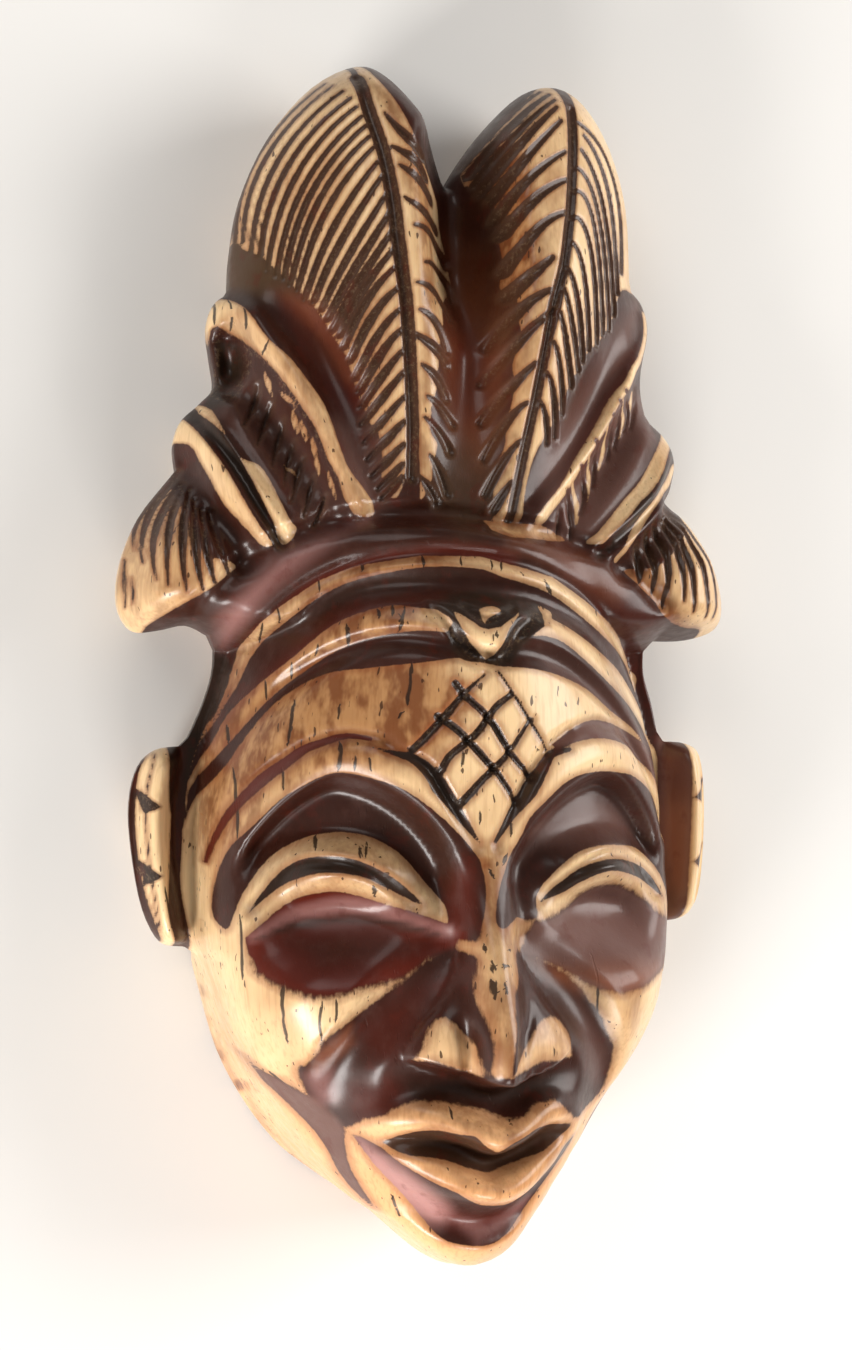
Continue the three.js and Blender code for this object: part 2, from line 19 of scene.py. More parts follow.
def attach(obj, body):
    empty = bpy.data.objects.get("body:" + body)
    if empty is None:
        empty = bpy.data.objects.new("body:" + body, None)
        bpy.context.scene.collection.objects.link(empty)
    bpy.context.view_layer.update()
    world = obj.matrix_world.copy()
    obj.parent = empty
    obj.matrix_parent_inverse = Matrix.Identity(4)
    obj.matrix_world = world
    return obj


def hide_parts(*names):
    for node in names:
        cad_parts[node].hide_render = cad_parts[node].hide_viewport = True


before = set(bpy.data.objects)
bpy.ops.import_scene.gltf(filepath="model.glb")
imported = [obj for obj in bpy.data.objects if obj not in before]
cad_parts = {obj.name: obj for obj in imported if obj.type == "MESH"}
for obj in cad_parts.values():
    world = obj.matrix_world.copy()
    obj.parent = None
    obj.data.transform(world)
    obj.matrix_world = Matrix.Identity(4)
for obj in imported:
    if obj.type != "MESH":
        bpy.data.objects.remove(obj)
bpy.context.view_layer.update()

LOG = logging.getLogger("mask")
Points = Sequence[tuple[float, float]]
Array = np.ndarray
Socket = bpy.types.NodeSocket
Input = Socket | float | tuple[float, ...]
MM = 0.001
TINY = 1e-9
FAR = 1e9

# Driving sizes in millimetres, as in the solid; an equator is the height of the widest line
CENTRE_X = -0.2
CENTRE_Y = 1.1
CREST_EQUATOR = 8.4
EAR_EQUATOR = 7.4
RIM_EQUATOR = 1.1
CHIN_EQUATOR = 12.6
CREST_START = 2.5
RIM_BAND = 0.3


def linear(red: int, green: int, blue: int) -> tuple[float, float, float, float]:
    """Scene-linear colour of a screen colour given from 0 to 255, by the sRGB formula."""
    parts = [((part / 255 + 0.055) / 1.055) ** 2.4 if part > 10 else part / 3294.6
             for part in (red, green, blue)]
    return (*parts, 1.0)


class Finish(Enum):
    """Which of the two surfaces a mark or a patch leaves."""

    DARK = "stain"
    BARE = "bare bone"


class Tone(Enum):
    """Colours of the stain. The pink one is not a stain colour but painted sheen, the pinkish
    shine of lit polished stain; plum, where it lies on the right side of the face and hair, is
    partly painted sheen as well.
    """

    PLUM = linear(98, 68, 60)
    SOOT = linear(42, 28, 19)
    BARK = linear(66, 42, 28)
    BROWN = linear(52, 23, 14)
    RED = linear(84, 24, 11)
    THIN = linear(158, 90, 56)
    # painted sheen: the pinkish shine of lit glossy stain, not a colour of its own
    PINK_SHEEN = linear(166, 118, 112)
    OLIVE = linear(74, 54, 36)


@dataclass(frozen=True)
class Cut:
    """A carved ridge (height above 0) or cut (below 0) that follows a line.

    half is its reach to either side, ends the share of its height left at its start and end,
    and twin copies it across the middle of the face.
    """

    name: str
    height: float
    half: float
    ends: tuple[float, float]
    line: Points
    twin: bool = False


@dataclass(frozen=True)
class Mark:
    """A band of stain or of bare bone along a line, with half widths at start, middle, end.

    Its line is always smoothed, its edge is never ragged and it has no twin.
    """

    name: str
    finish: Finish
    halves: tuple[float, float, float]
    line: Points
    tone: Tone = Tone.BROWN
    smooth: ClassVar[bool] = True
    ragged: ClassVar[float] = 0.0
    twin: ClassVar[bool] = False


@dataclass(frozen=True)
class Patch:
    """An area of stain or of bare bone inside a closed line.

    ragged lets the stain run along the grain at its edge, smooth rounds the corners of its
    line, and twin copies it across the middle of the face.
    """

    name: str
    finish: Finish
    line: Points
    tone: Tone = Tone.BROWN
    ragged: float = 0.0
    smooth: bool = True
    twin: bool = False


@dataclass(frozen=True)
class Tint:
    """An area where the stain leans to another tone, with the softness of its edge; some tints
    paint, wholly or in part, the sheen and highlights of lit stain.
    """

    tone: Tone
    soft: float
    strength: float
    line: Points


@dataclass(frozen=True)
class Barbs:
    """A row of curved strokes, each from a start guide past a middle guide to an end guide.

    height is the depth of the cuts, halves their half width at root, middle and tip, sizes
    how broad the first, middle and last strokes are against that, and wobble how much chance
    moves them.
    """

    name: str
    count: int
    start: Points
    middle: Points
    end: Points
    height: float
    halves: tuple[float, float, float]
    sizes: tuple[float, float, float] = (1.0, 1.0, 1.0)
    tone: Tone = Tone.BARK
    wobble: float = 0.1


@dataclass(frozen=True)
class LatticeLine:
    """A line of the lattice on the forehead: half widths of its stain, and its cut.

    last_end is the share of the cut's height left at its end.
    """

    halves: tuple[float, float, float]
    line: Points
    height: float = -0.55
    half: float = 0.45
    last_end: float = 0.6


OUTLINE_RUNS: dict[str, Points] = {
    "right plume": [(1, 44.9), (2.6, 47.6), (5, 50.8), (8.2, 53.9), (11.4, 54.9),
                    (14.4, 53.6), (17.2, 49.6), (18.9, 44), (19.2, 37.2)],
    "right scroll": [(19.4, 36.3), (20.6, 35), (21.1, 32.6), (20.4, 29.2), (20.3, 26.6),
                     (20.6, 24.6)],
    "right curl": [(21.1, 23.9), (22.9, 22.4), (23.8, 20), (23.2, 17.6), (22.6, 16.4)],
    "right lobe": [(23.3, 15.7), (25.4, 13.9), (27.6, 10.6), (28.6, 7), (28, 4.4),
                   (25, 3.3), (21.6, 3.2)],
    "right temple": [(20.8, 2.2), (21, 0.2), (21.9, -2.6), (22.5, -5.4)],
    "right ear": [(23.2, -6.4), (25.4, -6.6), (26.9, -7.8), (27.4, -12), (27.2, -18),
                  (26.5, -21.8), (24.8, -23.3), (22.6, -23.8)],
    "right flank": [(21.8, -24.8), (20.7, -29.2), (18.9, -35.1), (16.2, -40.2), (13, -44.4),
                    (9.8, -47.2)],
    "chin": [(8, -48.4), (5.8, -50.8), (3.4, -52.4), (0.6, -52.9), (-2.2, -52),
             (-4.8, -50.2), (-6.9, -48.4)],
    "left flank": [(-9.5, -47.1), (-13, -44.3), (-16.2, -40.2), (-18.9, -35.1),
                   (-20.6, -29.2), (-21.6, -25.4)],
    "left ear": [(-22.5, -24.7), (-24.8, -24.1), (-26.5, -21), (-27.5, -15.6),
                 (-27.7, -11.4), (-26.9, -8.2), (-25.3, -6.7), (-23.2, -6.4)],
    "left temple": [(-22.4, -5.6), (-21.1, -2.7), (-20.3, 0), (-20.2, 2.2)],
    "left lobe": [(-20.8, 3.5), (-22.8, 4.4), (-25.4, 3.9), (-27.6, 3.9), (-28.9, 6.2),
                  (-28.6, 9.9), (-27, 13.9), (-24.5, 17.2)],
    "left curl": [(-23.7, 18.2), (-23.9, 20.4), (-23.3, 22.5), (-22, 23.8)],
    "left scroll": [(-21.3, 24.5), (-20.3, 25.8), (-20.6, 28.4), (-20.9, 31), (-20.4, 33),
                    (-19.4, 33.9)],
    "left plume": [(-19, 34.6), (-18.8, 37.8), (-17.9, 42.8), (-15.4, 48.4), (-11.6, 53),
                   (-7.6, 55.2), (-4.9, 54.3), (-2, 51), (-0.2, 47.8), (0.7, 45.4)],
}

# Sections along the length, each as places and values
JAW_HALF: Points = [(-52.9, 0.8), (-51, 4.6), (-48, 7.6), (-44, 10.6), (-40, 13.7),
                    (-35, 17.3), (-30, 19.8), (-25, 21.2), (-20, 21.7), (-15, 21.8),
                    (-10, 21.6), (-5, 21), (0, 19.8), (8, 18.6), (14, 18)]
RIM_HALF: Points = [(-52.9, 3), (-49.5, 8), (-47.2, 10), (-44.3, 13.2), (-40.2, 16.4),
                    (-35.1, 19.1), (-29.2, 20.9), (-25, 22.2), (-6, 22.8), (0, 20.8),
                    (14, 20.8)]
JAW_HEIGHT: Points = [(-52.9, 13.4), (-48, 13.8), (-44, 14), (-40, 14), (-35, 13.4),
                      (-30, 12.2), (-25, 10.6), (-20, 9.6), (-15, 8.8), (-10, 8), (-5, 7.4),
                      (0, 7), (14, 6.5)]
MIDDLE_HEIGHT: Points = [(-52.9, 15.2), (-51, 19.4), (-48, 22.6), (-44, 24.2), (-40, 25),
                         (-35, 25.6), (-30, 25.9), (-25, 25.8), (-20, 25.4), (-15, 25.8),
                         (-10, 26.1), (-5, 26.2), (0, 26), (5, 25.2), (14, 20)]
DOME_POWER: Points = [(-52.9, 0.5), (-48, 0.6), (-44, 0.72), (-40, 0.72), (-35, 0.6),
                      (-30, 0.52), (-25, 0.5), (-15, 0.55), (-5, 0.68), (0, 0.78), (5, 0.84),
                      (14, 0.9)]
CREST_HEIGHT: Points = [(2, 18.6), (8, 19.6), (13, 19.6), (20, 18.6), (30, 17.6), (44, 17.2),
                        (50, 16.4), (54, 14.4), (57, 12)]
CREST_HALF: Points = [(2, 29.4), (8, 29.2), (20, 24.8), (31, 22), (40, 20.4), (45, 19.8),
                      (50, 18.6), (57, 16)]

CARVING: list[Cut] = [
    Cut("left plume crown", 2.4, 7.5, (0.2, 0.1),
        [(-9.6, 51), (-7.2, 46), (-5.7, 39.6), (-4.9, 33), (-4.4, 24), (-4.8, 14.5)]),
    Cut("right plume crown", 2.4, 7.5, (0.2, 0.1),
        [(10.3, 50.6), (10.2, 45), (9.2, 36.5), (7.8, 28.8), (6.4, 21.4), (4.8, 13.5)]),
    Cut("valley top", -5.6, 5.6, (1.1, 0), [(1, 46), (1.1, 41), (1.3, 35), (1.2, 28)]),
    Cut("valley", -2.4, 4.4, (0.6, 0), [(1.3, 40), (1.3, 32), (1.1, 24), (0.6, 13)]),
    Cut("left roll", -1.5, 2.8, (0.2, 0.4),
        [(-17.8, 37), (-15.2, 33.6), (-12.4, 29.4), (-10.3, 25), (-8.7, 20), (-7.6, 15.5)]),
    Cut("right roll", -1.2, 2.6, (0.2, 0.4),
        [(19, 34.6), (17, 31.4), (14.3, 27.2), (11.8, 23.2), (9.6, 19.6), (7.4, 15.8)]),
    Cut("left scroll", 1.5, 1.8, (0.7, 0.5),
        [(-20.7, 31.2), (-19.8, 32.9), (-18.2, 31.7), (-16.2, 28.6), (-14.2, 25.3),
         (-12, 20.5), (-9.2, 14.3)]),
    Cut("right scroll", 1.1, 1.4, (0.8, 0.5),
        [(20.5, 33.6), (20.3, 31.4), (18.4, 28.6), (15.8, 25.3), (11.2, 19.2), (5.6, 13.2)]),
    Cut("left scroll pit", -2.4, 2.6, (0.5, 0.4),
        [(-19.4, 29.4), (-17.8, 25.4), (-15.4, 20.6), (-11.6, 13.8)]),
    Cut("right scroll pit", -1.8, 2.4, (0.5, 0.4),
        [(19.4, 27.2), (17.2, 23), (14.3, 19.2), (9.4, 13.8)]),
    Cut("left curl", 1.5, 2.3, (0.8, 0.6),
        [(-22.8, 22.3), (-20.9, 19.4), (-19, 16), (-16.2, 12)]),
    Cut("right curl", 1.4, 2.1, (0.8, 0.6),
        [(22.5, 20.8), (20.1, 17.4), (17, 14.4), (13.4, 11.4)]),
    Cut("left curl cut", -1.2, 0.9, (0.8, 0.8),
        [(-22.4, 23), (-20, 18.9), (-18, 15.2), (-15.6, 11.3)]),
    Cut("right curl cut", -1.1, 0.9, (0.8, 0.8),
        [(22.4, 19.6), (20.2, 16.8), (16.9, 13.8), (13, 10.9)]),
    Cut("left lobe gap", -1.7, 2.0, (0.9, 0.6),
        [(-23.2, 18.4), (-21.8, 15.4), (-20.2, 12.6), (-18.4, 9.8)]),
    Cut("right lobe gap", -1.5, 1.9, (0.9, 0.6),
        [(22.2, 15.9), (20, 13.2), (17.6, 11), (15.6, 9.4)]),
    Cut("left lobe", 2.2, 6.4, (0.5, 0.9), [(-23.6, 14), (-24.6, 10.4), (-24.8, 7.4)]),
    Cut("right lobe", 2.2, 6.4, (0.5, 0.9), [(22.8, 12.6), (24.2, 9.4), (24.6, 6.8)]),
    Cut("hair end", -1.3, 1.5, (0.5, 0.5),
        [(-22.2, 6.2), (-19.7, 8.8), (-16.4, 11.1), (-12.6, 12.7), (-7.7, 13.6), (-1.9, 13.7),
         (3, 12.9), (8.5, 12.1), (14.9, 10.1), (19.6, 6.6)]),
    Cut("headband", 1.0, 3.0, (0.3, 0.3),
        [(-20.9, 4.2), (-18.4, 6.8), (-14.6, 9.4), (-9.4, 11.2), (-3, 12), (3, 11.4), (9, 10),
         (14.4, 7.6), (19, 4.4)]),
    Cut("band cut", -0.8, 1.1, (0.4, 0.4),
        [(-19.6, 0.8), (-17.4, 4.4), (-14, 7.5), (-9.8, 9.5), (-4.6, 10.4), (1, 10.1),
         (6, 9.1), (10.8, 7), (15, 3.8), (18.4, 0)]),
    Cut("outer arc cut", -1.4, 1.9, (0.4, 0.5),
        [(-19.5, -2.6), (-17.2, 1.2), (-13.8, 4.7), (-9.2, 7.1), (-4, 7.6), (0.8, 7),
         (5.6, 6.3), (9.8, 4.5), (13.6, 1.7), (16.8, -1.6), (19.4, -5.6)]),
    Cut("left inner arc cut", -1.2, 1.4, (0.5, 0.8),
        [(-21.9, -11.6), (-20.4, -8), (-18, -4.2), (-14.8, -0.6), (-11.2, 1.9), (-7.4, 3),
         (-3.4, 2.6), (0, 1.5)]),
    Cut("right inner arc cut", -1.2, 1.4, (0.6, 0.5),
        [(0.8, 1.3), (3.6, 1.9), (6.8, 1.1), (10.2, -0.7), (13.6, -3.2), (16.4, -6.2),
         (18.8, -9.8), (20.6, -14.4)]),
    Cut("left brow line", -0.7, 0.9, (0.5, 0.3),
        [(-21.4, -15.6), (-19.5, -10.9), (-15.2, -6.6), (-11.6, -5), (-8.2, -5.4)]),
    Cut("right brow line", -0.7, 0.9, (0.3, 0.5),
        [(6, -5.6), (9.5, -4.1), (12.6, -4.4), (16, -6.4), (19.2, -10), (20.9, -14.4)]),
    Cut("left brow spike", -0.9, 0.9, (0.3, 0.3),
        [(-8.2, -6), (-5.2, -7.4), (-3.4, -10), (-0.8, -14.3)]),
    Cut("right brow spike", -0.9, 0.9, (0.3, 0.3),
        [(7.6, -4.8), (5, -6.8), (3, -10), (1, -14.3)]),
    Cut("brow ridge", 0.7, 2.2, (0.3, 0.2),
        [(-20.8, -15.8), (-17.6, -10.6), (-13.4, -7), (-9.6, -6.9), (-5.4, -9.2),
         (-2.2, -13.2)], True),
    Cut("lid", 3.4, 3.6, (0.25, 0.35),
        [(-18.6, -20.4), (-15.8, -17.7), (-12.2, -16.3), (-8.6, -17), (-5.2, -19.3)], True),
    Cut("eye slit", -0.9, 0.9, (0.3, 0.3),
        [(-18.2, -19.6), (-15.2, -16.4), (-12.4, -15.7), (-9, -16.6), (-5.6, -19.2)], True),
    Cut("nose ridge", 2.4, 3.0, (0.25, 1),
        [(0.2, -16.5), (0.1, -20.6), (0.2, -25), (0.5, -29), (0.6, -32.4)]),
    Cut("nose side", -0.9, 1.2, (0.1, 0.9), [(-3, -27.6), (-2.2, -30), (-1.9, -32.6)], True),
    Cut("cheek", 1.3, 6.5, (0.6, 0.8), [(-16.6, -25), (-13.6, -28.4)], True),
    Cut("cheek fold", -1.9, 3.1, (0.5, 0.4),
        [(-3.8, -23), (-6.8, -25.8), (-9.8, -29.2), (-11.6, -32.6), (-11.6, -35.8),
         (-10.6, -38.4)], True),
    Cut("under nose", -0.9, 2.0, (0.3, 0.3),
        [(-8.8, -34), (-5.4, -33.8), (-1.6, -34.8), (0.8, -35.3), (3.6, -34.6), (8, -33.4)]),
    Cut("muzzle", 1.5, 7.5, (0.7, 0.7), [(-5, -39.4), (0.4, -40), (5.4, -39)]),
    Cut("upper lip", 1.9, 2.1, (0.3, 0.3),
        [(-9.6, -38.1), (-6.8, -36.8), (-4.6, -36.5), (-1.8, -37.4), (0.6, -38.3),
         (3, -37.7), (5.2, -36.6), (7.2, -37), (8.8, -38.3)]),
    Cut("lower lip", 1.9, 2.2, (0.3, 0.3),
        [(-8.8, -39.7), (-6, -41), (-3, -42.2), (0.4, -43.2), (3.4, -42.6), (6, -41),
         (8.4, -39)]),
    Cut("mouth", -2.0, 1.5, (0.3, 0.3),
        [(-8.4, -38.8), (-5.2, -38.8), (-2.6, -39.4), (0.4, -40.9), (3, -40.1), (5.4, -39),
         (7.8, -38.4)]),
    Cut("chin fold", -1.2, 1.9, (0.3, 0.3),
        [(-9.8, -39.6), (-7.8, -42.4), (-4.8, -45), (-1.4, -46.5), (1.8, -46.5),
         (4.8, -44.8), (7.6, -41.8), (9.2, -39.2)]),
    Cut("chin", 1.1, 4.2, (0.8, 0.8), [(-2, -49.6), (2.6, -49.6)]),
    Cut("jaw wedge", -1.1, 2.0, (0.3, 0.3),
        [(-18.4, -32.8), (-15.9, -35.9), (-13.4, -38.9), (-10.8, -42.2)], True),
]

# Lines that are both cut and stained
LEFT_RIB: Points = [(-8.4, 52.6), (-7.8, 49.2), (-6.8, 45.4), (-6.2, 41.4), (-5.9, 37.9),
                    (-5.6, 34.8), (-5.3, 32.2), (-5, 28.4), (-4.7, 23.7), (-4.6, 20.2),
                    (-4.7, 17)]
RIGHT_RIB: Points = [(11.5, 51.4), (11.2, 47.4), (10.6, 42.5), (10.1, 39.6), (9.4, 36.2),
                     (8.3, 32.6), (7.4, 28.5), (6.5, 24.1), (5.7, 20.6), (4.9, 17),
                     (3.9, 13)]
LATTICE: list[LatticeLine] = [
    LatticeLine((0.12, 0.17, 0.12), [(1, 0.3), (2.2, -1.4), (3.8, -3.8), (5.7, -6.6)],
                -0.3, 0.32),
    LatticeLine((0.34, 0.33, 0.24),
                [(-2.7, -0.7), (-1.9, -1.7), (0.2, -3.7), (2.1, -6.6), (4.1, -8.7)]),
    LatticeLine((0.34, 0.33, 0.22),
                [(-4.2, -3.4), (-2.4, -4.7), (-0.3, -6.9), (1.2, -8.6), (2.6, -10.7)]),
    LatticeLine((0.34, 0.36, 0.08), [(-6.2, -6.2), (-4, -3.9), (-2, -1.6), (-0.1, 0.1)],
                last_end=0.4),
    LatticeLine((0.34, 0.34, 0.28),
                [(-3.9, -8), (-3.2, -6.7), (-1, -4.9), (0.7, -2.7), (2.2, -1.6)]),
    LatticeLine((0.38, 0.3, 0.14),
                [(-2.3, -10.7), (-0.3, -8.6), (1.8, -6.6), (3.6, -4.1), (4.1, -3.7)],
                last_end=0.4),
]

# Cuts too fine for the solid
FINE_CUTS: list[Cut] = [
    Cut("left rib", -0.8, 0.75, (0.7, 0.7), LEFT_RIB),
    Cut("right rib", -0.7, 0.65, (0.7, 0.5), RIGHT_RIB),
    Cut("left scroll groove", -0.5, 0.5, (0.6, 0.6),
        [(-20.8, 30.6), (-18.6, 29.8), (-16.5, 27.2), (-14.1, 23.4), (-12.6, 20.7),
         (-10.8, 16.4), (-9.2, 13.4)]),
    *[Cut("lattice line", each.height, each.half, (0.6, each.last_end), each.line)
      for each in LATTICE],
    Cut("ornament left", -0.7, 0.8, (0.5, 0.5), [(-4.4, 5.6), (-2.6, 3.6), (-1, 1.6)]),
    Cut("ornament right", -0.7, 0.9, (0.5, 0.5), [(5.6, 5.2), (3.4, 3.9), (1.7, 1.6)]),
    Cut("ornament leaves", -0.5, 0.6, (0.5, 0.5), [(-1.7, 5.8), (0.2, 4.6), (2.8, 5.5)]),
    Cut("left scroll pit end", -2.6, 1.7, (0.6, 0.5),
        [(-19.2, 29.6), (-18.9, 27.4), (-19.6, 25.2)]),
    Cut("left ear line", -0.4, 0.35, (0.6, 0.6),
        [(-25.9, -7.1), (-26.6, -10.8), (-26.4, -16.1), (-25.4, -22.6)]),
    Cut("ear notch high", -0.9, 0.6, (1, 0.5), [(-26.9, -11.2), (-25.3, -11.6)], True),
    Cut("ear notch low", -0.9, 0.6, (1, 0.5), [(-26.8, -17.4), (-25.2, -17.6)], True),
]

BARBS: list[Barbs] = [
    Barbs("left plume outer barbs", 26,
          [(-10.8, 52.7), (-9.5, 50.9), (-8.5, 48.7), (-7.8, 46.3), (-7, 43.2), (-6.4, 39.1),
           (-6.2, 35), (-5.8, 30.5), (-5.5, 26), (-5.4, 20.8), (-5.6, 17)],
          [(-16.5, 46.4), (-14.9, 44.9), (-13.3, 42.7), (-11.7, 41.1), (-10.3, 37.7),
           (-9.2, 34.4), (-8.4, 32.3), (-7.4, 28.5), (-7, 24.1), (-7, 19.1), (-6.4, 16)],
          [(-18.5, 38.6), (-17.1, 37), (-15.5, 35), (-14.1, 33.9), (-12.5, 32.5),
           (-11.1, 30.6), (-10.1, 28.4), (-9, 25.2), (-8.6, 21.8), (-8.2, 17.8), (-7.2, 15.2)],
          -0.45, (0.24, 0.38, 0.34), (0.5, 1.0, 1.05)),
    Barbs("left plume inner barbs", 14,
          [(-6.5, 49.1), (-6.1, 46), (-5.5, 44.2), (-5.2, 41.3), (-4.4, 38.8), (-3.5, 35.7),
           (-4.4, 33.8), (-4.1, 31.4), (-4.8, 29.5), (-3.9, 26.7), (-3.4, 24.1), (-3.6, 22.3),
           (-3.1, 19), (-4, 17.1)],
          [(-5, 47.2), (-4.2, 45), (-3.7, 43.1), (-3.3, 40.4), (-1.5, 38.5), (0, 35.9),
           (-1.8, 33.1), (-2.3, 30.3), (-2.4, 28.1), (-2.3, 25.5), (-1.7, 23),
           (-1.9, 20.8), (-2.2, 17.5), (-3.2, 16.1)],
          [(-3, 45.6), (-2.7, 43.9), (-2, 42.1), (-1, 40), (0.6, 37.4), (0.9, 33.8),
           (-0.2, 31.6), (-1.2, 28.4), (-1.2, 27.1), (-1.2, 24), (-0.7, 21.9),
           (-1.1, 19.4), (-1.6, 15.6), (-2.5, 14.9)],
          -0.5, (0.16, 0.48, 0.6)),
    Barbs("right plume inner barbs", 15,
          [(9.4, 53.6), (9.9, 53.1), (10.1, 52.3), (10, 51.4), (10.2, 50.1), (10.3, 47),
           (10.2, 44.4), (10, 41.3), (8.3, 36.9), (7.9, 33.9), (8.4, 32.3), (6.4, 27.3),
           (5.7, 23.8), (5.1, 20.5), (4.2, 16.8)],
          [(5.6, 50.4), (5.9, 49.6), (6.1, 48.6), (6.2, 47.5), (6.5, 46.2), (6.4, 43.9),
           (7, 42.3), (7.1, 39.5), (6.1, 35), (5.3, 32.1), (5.3, 29.5), (4.2, 25),
           (4.2, 22.4), (3.7, 18.8), (3.5, 15.8)],
          [(2.2, 46.4), (2.6, 45.4), (3, 44.4), (3.4, 43.6), (3.9, 42.6), (4.2, 40.7),
           (4.7, 39.5), (4.6, 36), (4.7, 33.6), (2.7, 28.8), (2.4, 25.7), (2, 22),
           (2, 18.8), (1.7, 15.5), (2.5, 14.4)],
          -0.5, (0.26, 0.52, 0.64), (0.5, 1.0, 0.9)),
    Barbs("right plume outer barbs", 13,
          [(12.1, 50.3), (12.8, 48.8), (11.9, 46.9), (11.4, 44.4), (10.9, 41.4), (10.5, 38.5),
           (9.7, 35.7), (9.2, 33.4), (8.5, 30.4), (7.7, 27.2), (6.9, 24.1)],
          [(16.6, 46), (15.3, 43.6), (14.4, 42), (13.5, 41.3), (12.8, 38.8),
           (11.7, 35.8), (10.7, 32.9), (9.9, 30.5), (9.2, 27.6), (8.4, 25.3), (7.5, 22.6)],
          [(17.2, 37.1), (16.2, 34.8), (15.6, 32.7), (14.6, 31.4), (13.6, 29.9),
           (12.4, 28.9), (11.4, 27.9), (10.8, 26.7), (9.6, 23.9), (8.7, 21.5), (7.7, 20.3)],
          -0.5, (0.22, 0.34, 0.36)),
    Barbs("left lobe flutes", 8,
          [(-23.5, 18), (-23.8, 17.4), (-23.5, 16.8), (-23.2, 16.6), (-22.8, 16.2),
           (-22.6, 15.2), (-22.1, 14.3), (-21.3, 14.1)],
          [(-26.8, 14.2), (-26.4, 13.6), (-25.9, 12.4), (-24.9, 12.3), (-23.9, 11.5),
           (-22.9, 10.7), (-22, 10.7), (-20.9, 11.2)],
          [(-27.5, 11), (-27, 9.6), (-26, 8.2), (-25.1, 7.6), (-23.6, 7.2),
           (-22.3, 7.4), (-21.2, 7.8), (-20, 8.7)],
          -0.5, (0.34, 0.32, 0.1), (0.85, 1.0, 1.5)),
    Barbs("right lobe flutes", 7,
          [(21.2, 15.5), (21.1, 15.3), (20.8, 14.5), (20.4, 14.1), (19.1, 13.8),
           (18.2, 12.9), (17.1, 11.7)],
          [(24.8, 11.5), (23.4, 11.3), (22.2, 10.7), (21.3, 10.5), (20, 10.5),
           (18.7, 10.5), (17.4, 9.9)],
          [(25.8, 5.3), (24.7, 5.1), (22.9, 5.8), (21.7, 6.8), (19.7, 6.1), (18.7, 7.4),
           (17.3, 8.4)],
          -0.5, (0.34, 0.38, 0.14), (1.0, 1.0, 1.2)),
    Barbs("left scroll strokes", 7,
          [(-17, 25.6), (-15.9, 24), (-15, 22.3), (-14.1, 20.5), (-13.4, 18.9),
           (-12.6, 17.3), (-11.8, 15.6)],
          [(-17.3, 23.6), (-16.4, 22), (-15.3, 20.4), (-14.6, 18.6), (-14, 17),
           (-13.2, 15.4), (-12.2, 14.2)],
          [(-18.4, 21.8), (-17.4, 20), (-16.2, 18.2), (-15.4, 16.4), (-14.8, 14.9),
           (-13.9, 13.6), (-12.9, 12.8)],
          -0.7, (0.14, 0.34, 0.2)),
    Barbs("right scroll strokes", 8,
          [(18.7, 27), (16.4, 25.9), (15.6, 24.9), (14.8, 23.5), (12.7, 21), (11.1, 18.6),
           (9.8, 16.4), (9.1, 14.6)],
          [(18.4, 24.6), (17.5, 24.5), (16.3, 23.4), (15.3, 21.5), (13.3, 19),
           (11.9, 16.6), (10.1, 14.2), (8.9, 13.3)],
          [(17.6, 22.6), (17, 22.4), (15.7, 20.6), (14.8, 19.4), (12.8, 16.7),
           (11.1, 14.3), (10.1, 12), (8.8, 11.9)],
          -0.5, (0.2, 0.36, 0.2), wobble=0.0),
]


def whole_line(*parts: Points) -> list[tuple[float, float]]:
    """One closed line from several stretches, each walked in its own order."""
    return [spot for part in parts for spot in part]


# Edges of the larger stained areas
BAND_LOW = [(-20.6, -2.6), (-18.8, 0.3), (-18.2, 2.6), (-17.3, 4.5), (-15.9, 5.8),
            (-12.8, 8), (-9.7, 9.3), (-4.7, 10.1), (0.5, 10.1), (2.9, 9.5), (7.4, 8.5),
            (11.5, 6.4), (16.4, 3.3), (20.2, 0), (21.8, -3.4)]
LEFT_RIB_OUT = [(-8.6, 52.5), (-8.3, 49.3), (-7.3, 45.5), (-6.9, 41.4), (-6.6, 37.9),
                (-6.2, 34.8), (-5.9, 32.2), (-5.6, 28.4), (-5.2, 23.7), (-5.1, 20.2),
                (-5.4, 16.8)]
LEFT_RIB_IN = [(-8.1, 52.4), (-7.3, 49.3), (-6.4, 45.6), (-5.6, 41.5), (-5.3, 37.9),
               (-5, 34.8), (-4.8, 32.2), (-4.5, 28.4), (-4.3, 23.7), (-4.1, 20.3),
               (-4, 17.2)]
RIGHT_RIB_IN = [(10.9, 51.3), (10.7, 47.3), (10.1, 42.4), (9.6, 39.5), (9, 36.2),
                (7.7, 33), (6.9, 28.5), (6.1, 24.1), (5.4, 20.6), (4.6, 17), (3.5, 12.6)]
RIGHT_RIB_OUT = [(12.1, 51.4), (11.8, 47.5), (11.1, 42.6), (10.6, 39.7), (9.8, 36.3),
                 (8.9, 32.2), (7.9, 28.6), (6.9, 24.1), (6, 20.6), (5.2, 17.1), (4.3, 13.5)]
LEFT_SOCKET = [(-20.4, -21.9), (-21.1, -20.9), (-21.1, -19.1), (-20.9, -17.8), (-20.5, -16.1),
               (-19.8, -14.6), (-18.8, -13.4), (-17.6, -12), (-16.3, -10.5), (-14.8, -9.4),
               (-13.3, -8.5), (-11.8, -8.1), (-9.6, -8.5), (-7.3, -9.3), (-5.7, -10.3),
               (-4.1, -11.6), (-2.8, -12.8), (-1.4, -14.3), (-0.6, -15.6), (-0.2, -17.4),
               (-0.3, -19), (-0.8, -20.6), (-1.1, -21.8), (-2.8, -21.8)]
LEFT_LID_TOP = [(-3.1, -19.8), (-3.4, -18.9), (-4.5, -17.5), (-5.7, -16), (-6.9, -14.8),
                (-8.9, -13.7), (-10.9, -13.3), (-12.9, -13.5), (-14.4, -14), (-15.9, -14.9),
                (-17.1, -16), (-18.3, -17.5), (-19.3, -19.2), (-20.1, -21.6)]
